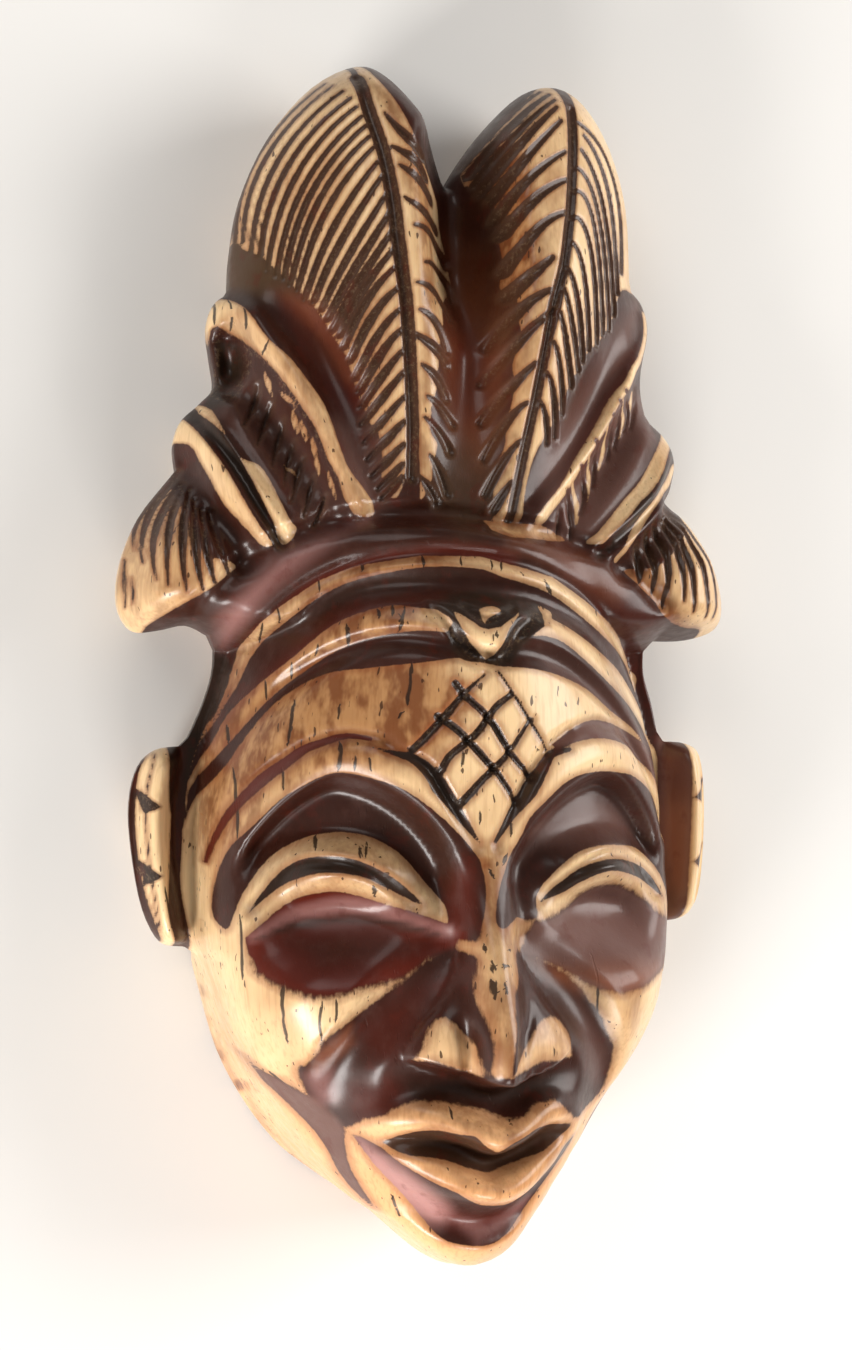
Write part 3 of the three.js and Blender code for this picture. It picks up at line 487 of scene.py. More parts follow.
RIGHT_SOCKET = [(-0.7, -21.6), (-0.3, -20.2), (0.5, -18.6), (1.3, -16.7), (2.1, -14.9),
                (2.9, -13.6), (3.8, -11.9), (5.1, -10.7), (6.8, -9.3), (8.6, -8.5),
                (11, -8.3), (13.4, -8.5), (15.3, -9), (17.7, -10.5), (19.8, -12.9),
                (20.8, -15.6), (21, -18.6), (20.8, -21.4)]
RIGHT_LID_TOP = [(20.4, -20.8), (19.6, -18.8), (18.4, -17), (16.6, -15.6), (13.9, -15),
                 (11.4, -14.8), (9.3, -15.2), (7.8, -16.1), (6.5, -17.3), (5.3, -18.8),
                 (4.6, -20.7), (2.6, -20.4), (0.8, -21)]
UPPER_LIP = [(-11.2, -39.2), (-10, -37.3), (-8.6, -36.5), (-6.9, -35.6), (-5.7, -35.1),
             (-4.1, -35.3), (-2.4, -35.6), (-0.7, -36.1), (0.9, -36.7), (2.1, -36.9),
             (3, -36.6), (4.1, -35.8), (5.5, -35.7), (7, -36.5), (8.2, -37.6)]
LOWER_LIP = [(8.2, -38.6), (7.4, -40.4), (6.6, -42), (5.4, -43.5), (3.8, -44.2),
             (2.1, -44.4), (0.6, -44.2), (-0.9, -43.9), (-2.9, -42.7), (-4.1, -42.2),
             (-5.6, -41.4), (-7.1, -40.5), (-8.4, -39.5), (-9.9, -38.8)]
BARE, DARK = Finish.BARE, Finish.DARK

STAIN_LAYERS: list[Mark | Patch | Barbs] = [
    Patch("hair and headband", DARK,
          whole_line(BAND_LOW, [(26, -4), (33, 4), (32, 30), (24, 60), (-24, 60), (-32, 30),
                                (-33, 4), (-24, 2)]), smooth=False),
    Patch("left plume bone", BARE,
          whole_line(LEFT_RIB_OUT,
                     [(-6.2, 15.2), (-7.2, 16.4), (-7.1, 18.7), (-7.4, 20.8), (-8.2, 22.1),
                      (-8.9, 24.2), (-9.9, 27.7), (-10.9, 29.5), (-11.8, 31.1), (-12.6, 32.4),
                      (-13.3, 33.1), (-14.6, 34.4), (-16, 36), (-16.8, 36.9),
                      (-17.9, 37.7), (-18.7, 38.6), (-22, 39.5), (-23, 45), (-19, 53),
                      (-12.5, 57.5), (-8.8, 57)])),
    BARBS[0],
    Patch("left plume inner bone", BARE,
          whole_line([(-8, 56.4)], LEFT_RIB_IN,
                     [(-4, 15.1), (-3, 16.8), (-2.9, 18.1), (-2.4, 19.9), (-3.1, 21.2),
                      (-2.9, 23.3), (-2.4, 25.1), (-2.3, 26.8), (-2.1, 28.6), (-1.5, 30.6),
                      (-1.1, 32.7), (1, 35.1), (0.8, 37.5), (0, 40), (-0.6, 42.5),
                      (-1.7, 44.2), (-3.3, 45.6), (-4.2, 47.6), (-5.5, 50.4), (-6.9, 52.9)])),
    BARBS[1],
    Patch("right plume inner bone", BARE,
          whole_line([(10.8, 56.8), (9.5, 54.3), (6, 50.9), (3.5, 47.9), (2.3, 46.2),
                      (2.4, 44.6), (3, 44.2), (3.6, 43.4), (4.2, 42), (4.4, 39.3), (4.6, 36.9),
                      (4.4, 34.4), (5.2, 33.2), (5.2, 31.2), (5.3, 29.4), (4.6, 27.5),
                      (4.6, 25.9), (4.5, 24.1), (4, 21.9), (3.8, 20.1), (2.9, 17.5),
                      (2.5, 13.9)], RIGHT_RIB_IN[::-1])),
    BARBS[2],
    Patch("right plume outer bone", BARE,
          whole_line([(12.5, 57.5)], RIGHT_RIB_OUT,
                     [(5, 13.6), (5.8, 17.4), (6.6, 19.6), (8.1, 22), (9.1, 23.9),
                      (10.2, 26.2), (11.4, 27.7), (12.2, 29), (13.9, 30.4), (15.6, 32.7),
                      (17, 35.6), (21, 37), (21.5, 46), (17.5, 54)])),
    BARBS[3],
    Mark("left rib", DARK, (0.62, 0.62, 0.56), LEFT_RIB, Tone.BARK),
    Mark("right rib", DARK, (0.56, 0.54, 0.42), RIGHT_RIB, Tone.BARK),
    Patch("left scroll bone", BARE,
          [(-21.8, 28), (-20.9, 28.2), (-20.7, 30.6), (-20, 30.8), (-18.6, 30),
           (-17.5, 28.6), (-16.6, 27.4), (-15.4, 25.7), (-14.2, 23.7), (-12.7, 21),
           (-11.9, 18.8), (-10.9, 16.7), (-10.4, 15), (-9.3, 13.7), (-7.8, 13.9),
           (-8.6, 15.7), (-10.1, 17.6), (-10.8, 19.5), (-11.8, 23.1), (-13.2, 25.1),
           (-14.8, 27.3), (-16.7, 29.3), (-18.3, 32.1), (-19.7, 33.4), (-20.6, 33.3),
           (-21.8, 32.4)]),
    Patch("left scroll pit", DARK,
          [(-20.2, 29.8), (-18.7, 29.3), (-18, 27.6), (-18.4, 25.4), (-19.6, 23.9),
           (-21.2, 23.6), (-20.2, 26.2)], Tone.SOOT),
    BARBS[6],
    *[Mark("left scroll sliver", BARE, (0.03, 0.17, 0.03), line) for line in
      ([(-16.7, 26.7), (-15.9, 24.3)], [(-15.5, 24.7), (-14.2, 23.1)],
       [(-14.5, 23), (-14, 20.9)], [(-13.9, 22.1), (-13.3, 20)],
       [(-13.1, 20.7), (-12.5, 18.3)], [(-15.2, 18.4), (-13.7, 17)],
       [(-12.7, 19.1), (-12.3, 17.2)], [(-11.8, 17.6), (-11.1, 15.1)])],
    Mark("right scroll bone", BARE, (0.4, 0.46, 0.5),
         [(20.4, 34), (20.2, 31.6), (19, 29.4), (17.7, 27.9), (16.7, 26.5), (15.2, 24.9),
          (13.2, 22), (10.9, 18.9), (9.1, 16.2), (6.8, 13.6)]),
    *[Mark("right scroll web", BARE, (0.16, 0.3, 0.12), line) for line in
      ([(18.1, 26.2), (17.8, 24.8), (17.4, 23.4)], [(16, 25), (16.8, 23.6), (16.4, 21.8)],
       [(14, 22.4), (14.4, 20.4), (13.8, 18.6)], [(11.8, 19.6), (12.6, 17.8), (12, 15.6)],
       [(10.3, 17), (10.9, 15.2), (10.6, 13.4)])],
    BARBS[7],
    Patch("left curl upper bone", BARE,
          [(-22.2, 24.2), (-20.9, 23.3), (-20, 20.9), (-19, 18.9), (-17.3, 18),
           (-16.1, 15.7), (-15.1, 13.3), (-14.4, 12.5), (-15.4, 11.2), (-16.2, 12.4),
           (-17.8, 15.4), (-18.7, 18), (-20.4, 20.1), (-21.8, 23)]),
    Patch("left curl lower bone", BARE,
          [(-23.6, 23), (-23, 22.5), (-21.8, 20.6), (-20.3, 17.8), (-18.9, 14.9),
           (-17.5, 12.5), (-16.5, 11.2), (-17.4, 11.2), (-19.1, 13.2), (-20.5, 15.1),
           (-21.7, 17.9), (-22.8, 20.2), (-24.6, 20.6)]),
    Mark("left curl groove", DARK, (0.5, 0.55, 0.3),
         [(-22.6, 23.2), (-20.4, 20.4), (-19.1, 17.7), (-17.9, 15.2), (-16.7, 12.8),
          (-15.8, 10.5)], Tone.SOOT),
    Patch("right curl upper bone", BARE,
          [(22.6, 23.2), (21.1, 21.8), (19.6, 20), (17.7, 17.6), (15.7, 15.8),
           (12.8, 12.9), (11.6, 11.8), (13, 11.7), (13.7, 12.4), (15.6, 14.1),
           (17.1, 15.6), (18.6, 16.8), (20.2, 18.5), (21.5, 20.4), (23, 21.8)]),
    Mark("right curl lower bone", BARE, (0.4, 0.36, 0.3),
         [(23.2, 19.6), (21.8, 18), (20.1, 16.7), (18.3, 15), (16.7, 13.1), (15.7, 11.6),
          (14.9, 10.4)]),
    Mark("right curl groove", DARK, (0.4, 0.44, 0.3),
         [(22.8, 21), (21.8, 19.4), (19.4, 17), (16.8, 14.5), (15, 12.5), (12.8, 10.4)],
         Tone.SOOT),
    Patch("left lobe bone", BARE,
          [(-24.4, 17.2), (-23.6, 15.2), (-22.8, 12.6), (-21, 10.4), (-19.4, 9.4),
           (-20.1, 8.7), (-21.1, 7.8), (-22.1, 7.1), (-23.7, 6.2), (-26.1, 4.6),
           (-26.7, 3.8), (-27, 1.8), (-31, 4), (-30.5, 10.5), (-28, 15.4)]),
    BARBS[4],
    *[Mark("left lobe edge line", DARK, (0.1, 0.14, 0.06), line, Tone.SOOT) for line in
      ([(-28.3, 10.1), (-28.4, 8.3), (-28.3, 5.9)], [(-27.9, 8.5), (-27.7, 6.2)])],
    Patch("left lobe root", DARK,
          [(-24.4, 16.6), (-23.2, 13.4), (-22.2, 10.6), (-20.8, 9.9), (-19, 10.6),
           (-20.6, 13.6), (-22.4, 16.8)]),
    Patch("right lobe bone", BARE,
          [(23.9, 15.8), (22.8, 13.6), (21, 11.4), (18.8, 9.8), (16.4, 9.6), (16.1, 9.3),
           (17.3, 8), (19, 6.7), (19.9, 5.4), (22.6, 4.5), (25.6, 4.1), (26, 1.8),
           (30.5, 3), (30.5, 8.6), (28, 13.4)]),
    BARBS[5],
    Patch("outer arc groove", DARK,
          [(-19.9, -3.4), (-18.5, -0.8), (-17.5, 1.5), (-16, 3.7), (-13.8, 5.8),
           (-10.8, 7.7), (-7.3, 8.7), (-3.6, 9.2), (0.2, 9), (2.1, 8.4), (6.5, 7.2),
           (10, 5.4), (13.3, 3.5), (18.4, 0.4), (20.9, -2.9), (22.2, -7), (20.4, -4.2),
           (16.5, -0.2), (12.9, 2), (8.9, 3.9), (6.5, 4.9), (4.6, 5.6), (0.6, 5.6),
           (-2.6, 5.4), (-5.3, 5.6), (-7.7, 5.8), (-11.5, 4.4), (-14.8, 1.4), (-17.1, -0.8),
           (-19.5, -3.6), (-20.9, -6.5), (-22.6, -9.6), (-21.6, -6.4)]),
    Patch("left inner arc groove", DARK,
          [(-22.4, -10.3), (-20.9, -7.9), (-19.6, -6.1), (-16.7, -2.4), (-13.8, 0.3),
           (-10.6, 2.5), (-6.6, 3.6), (-3.2, 3.6), (-1, 3), (0.2, 1.2), (-2.2, 1.4),
           (-5.6, 1), (-9.2, 0.6), (-12.6, 0), (-15.8, -2.2), (-18, -4.9),
           (-19.7, -7.7), (-21.9, -11.1), (-22.9, -13.6)]),
    Patch("right inner arc groove", DARK,
          [(0.6, 1.4), (2.4, 2.4), (4.3, 3.3), (7, 3), (9.9, 1.4), (13.3, -0.8),
           (17.6, -3.7), (20.4, -6.6), (22.2, -10.4), (22.4, -13), (19.3, -7.9),
           (16.7, -5.1), (13.4, -3.1), (10.1, -1.1), (5.5, 0.3), (1.9, 0.7)]),
    Patch("ornament ground", DARK,
          [(-5.2, 6.4), (-2.8, 4.6), (-3, 3.6), (-2.2, 1.4), (0.1, 1), (1.9, 0.7),
           (3.2, 2), (4.3, 3.3), (6.4, 4.8), (5.5, 6.2), (0.5, 7.2)], Tone.SOOT),
    Patch("ornament bone", BARE,
          [(-2.7, 5.4), (-1.6, 4.8), (-0.5, 4), (0.2, 3.8), (1.3, 4), (2.2, 4.6),
           (3.3, 5.3), (2.1, 3.9), (1.7, 3.1), (1.3, 2.3), (0.8, 1.6), (0.3, 1.3),
           (-0.3, 1.8), (-1.3, 2.8), (-2.1, 4.1)], smooth=False),
    Patch("ornament leaf", BARE, [(-0.4, 5.5), (0.8, 5.8), (1.6, 5.4), (0.6, 4.9), (0, 4.3)]),
    Patch("right leaf edge", BARE, [(5.6, 6), (6.9, 5.4), (6.4, 4.6), (5.6, 4.2), (5.9, 5.2)]),
    Mark("left brow line", DARK, (0.14, 0.42, 0.2),
         [(-21.5, -16.4), (-20.8, -14.1), (-20, -12.3), (-19, -10.8), (-17.3, -8.8),
          (-15.8, -7.5), (-14.4, -6.3), (-13.1, -5.7), (-11.3, -5.1), (-9.5, -5.3)], Tone.RED),
    # partly painted sheen: the plum tone here also stands for the mauve sheen of this
    # right-facing crescent
    Patch("right brow crescent", DARK,
          [(6.1, -5.9), (8.1, -4.6), (10.3, -3.9), (12.9, -4.2), (16.4, -5.4), (19.5, -7.6),
           (21.4, -11.5), (19.2, -8.9), (14.9, -6.4), (11.4, -5.5), (8.5, -5.7), (6.5, -6.4)],
          Tone.PLUM),
    Mark("left brow spike", DARK, (0.06, 0.78, 0.1),
         [(-9, -6.1), (-7.2, -6.6), (-6.2, -6.9), (-4.9, -8), (-4, -9.3), (-3, -10.6),
          (-1.9, -12.2), (-0.6, -14)], Tone.SOOT),
    Mark("right brow spike", DARK, (0.2, 0.64, 0.2),
         [(7.6, -6.3), (5.9, -6.7), (4.8, -8.2), (3.7, -9.8), (2.5, -11.3), (1.6, -12.6),
          (0.8, -13.9)], Tone.SOOT),
    *[Mark("lattice line", DARK, each.halves, each.line, Tone.SOOT) for each in LATTICE],
    Patch("left socket", DARK, whole_line(LEFT_SOCKET, LEFT_LID_TOP)),
    Patch("right socket", DARK, whole_line(RIGHT_SOCKET, RIGHT_LID_TOP)),
    Patch("left eye slit", DARK,
          [(-18.8, -20.4), (-17.5, -18.4), (-16, -16.6), (-14.4, -15.5), (-12.5, -15.2),
           (-10.6, -15.4), (-8.5, -16.3), (-6.5, -17.6), (-4.9, -19.3), (-7.8, -17.9),
           (-9.8, -16.9), (-11.9, -16.5), (-13.6, -16.6), (-15.4, -17.4), (-17, -18.7)],
          Tone.SOOT),
    Patch("right eye slit", DARK,
          [(5.4, -19.5), (7.4, -17.9), (9.6, -16.5), (12.6, -16), (16, -16.8),
           (17.9, -18.1), (19.4, -20.2), (17.9, -19.1), (15.8, -17.9), (12.4, -17),
           (9.9, -17.6), (8, -18.7)], Tone.SOOT),
    Patch("left under-eye", DARK,
          [(-19, -22.2), (-17, -20.5), (-15.3, -19.2), (-13.9, -18.5), (-12, -18.2),
           (-9.9, -18.6), (-7.8, -19.3), (-5.9, -19.8), (-3.6, -20.6), (-2, -21.4),
           (-2.6, -23.2), (-4.3, -23.5), (-5.7, -24.2), (-7.4, -25.1), (-10.4, -25.4),
           (-12.7, -26), (-14.5, -26), (-16.6, -25.4), (-18, -24.8), (-18.8, -23.6)],
          Tone.RED, ragged=0.15),
    Patch("left under-eye runs", DARK,
          [(-17.6, -24.2), (-14.5, -25), (-10.4, -24.4), (-7.4, -24), (-4.6, -22.8),
           (-5.7, -24.3), (-7.4, -25.3), (-10.4, -25.8), (-12.7, -26.4), (-14.8, -26.3),
           (-16.8, -25.7), (-18.2, -24.9)], Tone.RED, ragged=0.9),
    # partly painted sheen: the plum tone here also stands for the mauve sheen of the right
    # under-eye
    Patch("right under-eye", DARK,
          [(4.7, -21), (7, -20.8), (9, -20), (9.9, -19.2), (11.3, -18.6),
           (13.5, -18.6), (15.4, -19.3), (17, -20.3), (18.6, -21.6), (20.2, -22.4),
           (20.8, -24), (19.6, -25.8), (17.2, -26.6), (13.6, -27.2), (10.7, -26.8),
           (8.1, -25.4), (5.2, -24), (3.2, -23.6)], Tone.PLUM, ragged=0.6),
    Patch("nose sides and cheek folds", DARK,
          [(-0.8, -22), (-4.1, -23.5), (-6.9, -25.9), (-8.9, -27.3), (-11.1, -28.9),
           (-13.1, -30.3), (-13.4, -31.2), (-14.3, -32.7), (-14.8, -33.2), (-14, -35.3),
           (-12.8, -37), (-11.2, -38.2), (-9.2, -37), (-6.9, -35.4), (-4.1, -35.2),
           (-0.7, -36), (2.1, -36.8), (5.5, -35.6), (7.4, -36.8), (8.4, -37.7),
           (10.5, -37.5), (12.2, -36.6), (12.9, -34.3), (12.8, -32.5), (11.8, -30.8),
           (11.1, -29.4), (10.1, -28.2), (8.2, -26.1), (5.2, -24.2), (3, -23.4),
           (1.6, -22)], ragged=0.4),
    Patch("nose bone", BARE,
          [(-0.6, -15.6), (-0.3, -17.4), (-0.5, -19.2), (-0.9, -20.6), (-1.3, -21.8),
           (-2.3, -22), (-2.4, -22.9), (-1.5, -23.4), (-1.8, -25.2), (-1.7, -26.8),
           (-1.3, -27.9), (-0.9, -29.2), (-0.7, -30.8), (-0.9, -32.5), (0.4, -32.6),
           (0.8, -31.5), (1.1, -29.6), (1.3, -28), (1.4, -26.3), (2.2, -25.2),
           (2.5, -23.6), (2.9, -23), (4, -22.1), (4.4, -21.1), (2.5, -20.6),
           (0.9, -20.9), (0.2, -20.4), (0.5, -18.8), (1.1, -17.2), (1.6, -15.8)]),
    Patch("left nostril wing bone", BARE,
          [(-6.5, -31.8), (-5.8, -30.5), (-5.1, -28.8), (-4.3, -28.1), (-3.6, -28.3),
           (-2.6, -29.2), (-1.9, -29.9), (-1.5, -30.8), (-1.2, -32.8), (-3, -32.3),
           (-4.9, -31.7)]),
    Patch("right nostril wing bone", BARE,
          [(0.8, -32.3), (1.7, -31.4), (3, -30.1), (3.7, -29), (4.7, -28.5),
           (5.9, -28.7), (7.3, -29.9), (7.8, -31.2), (8, -32.1), (7.8, -32.6),
           (4.4, -32.1), (2.4, -32.6), (0.4, -32.6)]),
    Patch("lips", BARE, whole_line(UPPER_LIP, LOWER_LIP)),
    Patch("mouth", DARK,
          [(-8.4, -39), (-7.1, -38.3), (-5.7, -37.7), (-4.3, -37.5), (-2.8, -37.7),
           (-1.7, -37.8), (-0.8, -38.6), (0.2, -39.3), (0.7, -39.2), (1.3, -38.7),
           (2.7, -38.2), (4.3, -37.7), (6.9, -38.1), (8, -38.5), (5.9, -39.8),
           (4.9, -40.3), (3.2, -40.8), (1.9, -41.2), (0.5, -41.6), (-0.5, -41.4),
           (-1.9, -40.9), (-3.1, -40.4), (-4.8, -40), (-6.3, -39.9), (-7.4, -39.6)],
          Tone.BARK),
    Patch("chin band", DARK,
          whole_line([(-10.3, -38.9), (-8.5, -41.4), (-6.3, -43.8), (-4.6, -45.9),
                      (-3.1, -47.6), (-1.5, -48.2), (0.7, -48.4), (2.1, -48.1),
                      (3.7, -47), (5.7, -44.9), (7.6, -42.4), (8.9, -39.8)],
                     LOWER_LIP[1:])),
    Patch("left jaw wedge", DARK,
          [(-18.2, -33.4), (-17.1, -34.1), (-15.9, -34.6), (-14.5, -35.4), (-12.9, -36.2),
           (-12.1, -37), (-11, -38.4), (-10.6, -40.2), (-10.1, -42), (-9, -44),
           (-7.6, -46.2), (-9.2, -44.8), (-10.5, -43.2), (-11.5, -41.3), (-12.5, -39.7),
           (-13.9, -38.1), (-15.4, -36.6), (-16.9, -35.2)], Tone.PLUM),
    Mark("right jaw wedge", DARK, (0.08, 0.4, 0.08),
         [(17.7, -33.7), (16, -35.6), (13.8, -38.2), (10.8, -42)]),
    Patch("left temple", DARK,
          [(-20, 3), (-18.9, 0.4), (-20, -3.1), (-21, -4.8), (-22.2, -8.2),
           (-22.7, -11.1), (-23, -13.9), (-24.2, -12), (-24.4, -7), (-24, -3.6),
           (-22.4, 0.4), (-22, 3.4)], Tone.SOOT),
    Patch("right temple", DARK,
          [(20.9, 1.2), (20.3, -1.4), (21.2, -4.4), (22.4, -7.4), (23.6, -10.6), (25, -7),
           (24.2, -3), (23, 2)]),
    Patch("ear gaps", DARK,
          [(-22.6, -6.4), (-22.9, -10.3), (-23, -14.7), (-23.1, -19.2), (-22, -25.4),
           (-23.3, -25.2), (-24.5, -21), (-24.4, -17.5), (-24.1, -13), (-23.8, -9.6),
           (-23.4, -6.4)], twin=True),
    Patch("right ear face", DARK,
          [(22.6, -6), (24.4, -6.2), (25, -9), (25, -14), (24.7, -19),
           (24.2, -23), (23.4, -24.6), (22.2, -22), (22.6, -12)], Tone.PLUM),
    Mark("left ear edge", DARK, (0.2, 0.34, 0.3),
         [(-26, -6.6), (-27.1, -8.6), (-27.5, -12.4), (-27.3, -16.2), (-26.5, -20.2),
          (-25.2, -23.8)]),
    Mark("left ear line", DARK, (0.08, 0.1, 0.08),
         [(-25.6, -7.1), (-26.4, -10.8), (-26.2, -16.1), (-25.2, -22.6)]),
    *[Patch("ear notch", DARK, line, Tone.SOOT, twin=True, smooth=False) for line in
      ([(-27.4, -9.8), (-25.2, -11.6), (-26.6, -12.2)],
       [(-27.2, -16.2), (-25.1, -17.7), (-26.4, -18.6)])],
    Patch("crest glow", BARE,
          [(1.7, 13.5), (3.1, 13.3), (5, 13.2), (7.5, 13), (9.6, 12), (8, 11.8),
           (5.6, 11.9), (3.6, 11.9), (2, 12.5)]),
]

# Areas where the stain has another tone; the pink tints are painted sheen and highlights of the
# lit stain, and some plum tints on the right are partly painted sheen
TINTS: list[Tint] = [
    Tint(Tone.OLIVE, 1.2, 0.9, [(-21, 41), (-20, 35), (-16.5, 33), (-14, 33.4), (-17, 38)]),
    Tint(Tone.RED, 1.5, 0.9, [(-15.4, 33.4), (-12, 26.5), (-9.8, 22.5), (-8.6, 24),
                              (-11.4, 31)]),
    Tint(Tone.THIN, 1.6, 0.36, [(-14.4, 33), (-11.4, 27.5), (-9.6, 26), (-12.4, 32.4)]),
    Tint(Tone.PLUM, 1.4, 0.8, [(-11.4, 22), (-9.6, 15), (-7.4, 14), (-7.6, 20), (-9, 22)]),
    Tint(Tone.PLUM, 1.2, 0.4, [(-20, 24), (-17, 25.4), (-11.4, 15.6), (-12.4, 12.4),
                               (-17, 18)]),
    # partly painted sheen: the plum here also stands for the mauve sheen of the lit stain on the
    # right roll
    Tint(Tone.PLUM, 1.4, 0.9, [(20, 36), (14.4, 29), (8.4, 20.6), (7.4, 15), (10, 17),
                               (16.6, 27)]),
    Tint(Tone.RED, 1.0, 0.5, [(18, 29.6), (12.6, 23), (9.4, 17.6), (11, 17.6), (18, 27.4)]),
    Tint(Tone.PLUM, 1.2, 0.8, [(20.4, 27), (14.8, 24), (9, 15), (8.6, 11.8), (13.6, 14),
                               (20.4, 22)]),
    Tint(Tone.THIN, 2.6, 0.4, [(0.4, 40), (3.4, 36), (3.4, 26), (1.6, 18), (-1, 26),
                                (0.4, 34)]),
    Tint(Tone.RED, 1.8, 0.6, [(-0.4, 30), (1.8, 33), (3.2, 27), (1.6, 22), (-0.4, 24)]),
    Tint(Tone.OLIVE, 2.0, 0.5, [(-3, 18), (1, 20), (3, 14), (-1, 12)]),
    # painted sheen: the lit, shiny left end of the headband
    Tint(Tone.PINK_SHEEN, 1.2, 0.6, [(-20.6, 5), (-16, 10), (-9, 13), (-11, 12), (-17, 7),
                               (-19.6, 2.4)]),
    Tint(Tone.RED, 0.6, 0.9, [(-18, 3.6), (-12.4, 8.6), (-4, 10.9), (3, 10.4), (3, 9.4),
                              (-5, 10.1), (-12, 8), (-17.6, 3)]),
    Tint(Tone.RED, 2.4, 0.3, [(8, 12.4), (20, 5), (22, -3), (16, 2.4), (8, 8.2)]),
    Tint(Tone.THIN, 1.2, 0.22, [(3, 12.4), (9, 11), (15, 8.4), (14, 6.6), (8, 9.4),
                                (3, 11)]),
    Tint(Tone.RED, 0.8, 0.6, [(-19, -2.4), (-13.6, 3.2), (-9.4, 6.2), (-3, 6.6), (-7.6, 5.4),
                              (-12, 3.6), (-17, -1.4)]),
    Tint(Tone.SOOT, 0.7, 0.6, [(-16.4, 3), (-10.6, 7.4), (-4, 8.8), (0, 8.6), (-4, 8),
                               (-10, 6.6)]),
    # partly painted sheen: the plum here also stands for the mauve sheen lit in the right arc
    # groove
    Tint(Tone.PLUM, 1.0, 0.6, [(5, 2), (13, -1.6), (19, -6), (20, -8), (13, -3.6), (6, 0.4)]),
    Tint(Tone.SOOT, 1.6, 0.35, [(-9, -9.4), (-5, -11.4), (-2.6, -14), (-2.6, -18),
                                (-5, -15.4), (-8.6, -12.6)]),
    Tint(Tone.RED, 0.8, 0.7, [(-2, -15), (-1, -17), (-1.6, -21), (-3.4, -21), (-2.6, -17)]),
    # partly painted sheen: the plum here also stands for the mauve sheen of the lit right socket
    Tint(Tone.PLUM, 1.6, 0.9, [(5, -13.4), (10, -10.8), (15.4, -11.4), (18.6, -14.6),
                               (14, -14.4), (8, -14.6)]),
    # painted sheen: the shiny band along the top of the left under-eye
    Tint(Tone.PINK_SHEEN, 0.5, 0.55, [(-18.8, -22), (-14.6, -19.6), (-10, -18.8), (-3.4, -20.8),
                                 (-3.4, -21.9), (-9, -20.6), (-14.6, -21), (-18.6, -22.6)]),
    Tint(Tone.SOOT, 0.25, 0.75, [(-18.6, -22.4), (-14.6, -20.9), (-10, -20.3), (-6, -20.8),
                                 (-3.4, -21.8), (-6, -21.4), (-10, -20.9), (-14.6, -21.5)]),
    # painted sheen on the right under-eye
    Tint(Tone.PINK_SHEEN, 1.6, 0.1, [(6, -22), (12, -20), (18, -22), (16, -25), (9, -24)]),
    Tint(Tone.THIN, 1.4, 0.4, [(7, -25.6), (10, -27), (14, -27.4), (18, -26), (15, -25.4),
                               (10, -25)]),
    Tint(Tone.RED, 1.4, 0.5, [(-1.6, -24), (-6, -26.2), (-10, -29.4), (-8, -32), (-4.6, -27)]),
    Tint(Tone.THIN, 0.7, 0.45, [(-11, -29.2), (-13.6, -31.6), (-13.4, -33.6),
                                (-10.8, -30.8)]),
    Tint(Tone.SOOT, 0.8, 0.6, [(-6.4, -33.8), (0, -34.2), (7, -33.8), (6, -35.4), (0, -35.6),
                               (-6, -35)]),
    Tint(Tone.RED, 1.2, 0.5, [(-11, -34.6), (-8, -33.4), (-7, -35.4), (-10, -37.6)]),
    # painted highlight at the lower end of the left cheek fold
    Tint(Tone.PINK_SHEEN, 0.8, 0.5, [(-12.2, -33.2), (-14.2, -33.6), (-13, -36), (-11.8, -36)]),
    # partly painted sheen: the plum here also stands for the mauve sheen of the right cheek fold
    Tint(Tone.PLUM, 1.2, 0.6, [(8.6, -27), (11, -30), (12.6, -33), (11.6, -36), (9.4, -33)]),
    Tint(Tone.THIN, 0.8, 0.3, [(4, -24), (6.6, -24.6), (9.6, -27.2), (8.4, -27),
                               (5.4, -25.2)]),
    Tint(Tone.RED, 0.9, 0.7, [(-4, -44.4), (0, -46), (4.4, -45.4), (1.6, -48), (-2.4, -47)]),
    # painted sheen on the left part of the chin band
    Tint(Tone.PINK_SHEEN, 1.0, 1.0, [(-10, -39), (-6.6, -41.4), (-3, -44.6), (-2.6, -46.4),
                               (-4.6, -46.2), (-9, -41.8)]),
    # painted sheen on the middle of the chin band
    Tint(Tone.PINK_SHEEN, 0.8, 0.6, [(-2, -46), (1.4, -46.8), (5, -45), (3, -47), (0, -48)]),
    Tint(Tone.BROWN, 1.4, 0.7, [(-15.4, -22.6), (-10, -21.8), (-4.6, -22.4), (-8, -23.8),
                                (-13, -24.2)]),
    Tint(Tone.THIN, 2.0, 0.5, [(23.6, -8), (24.6, -14), (24, -20), (23, -14)]),
]
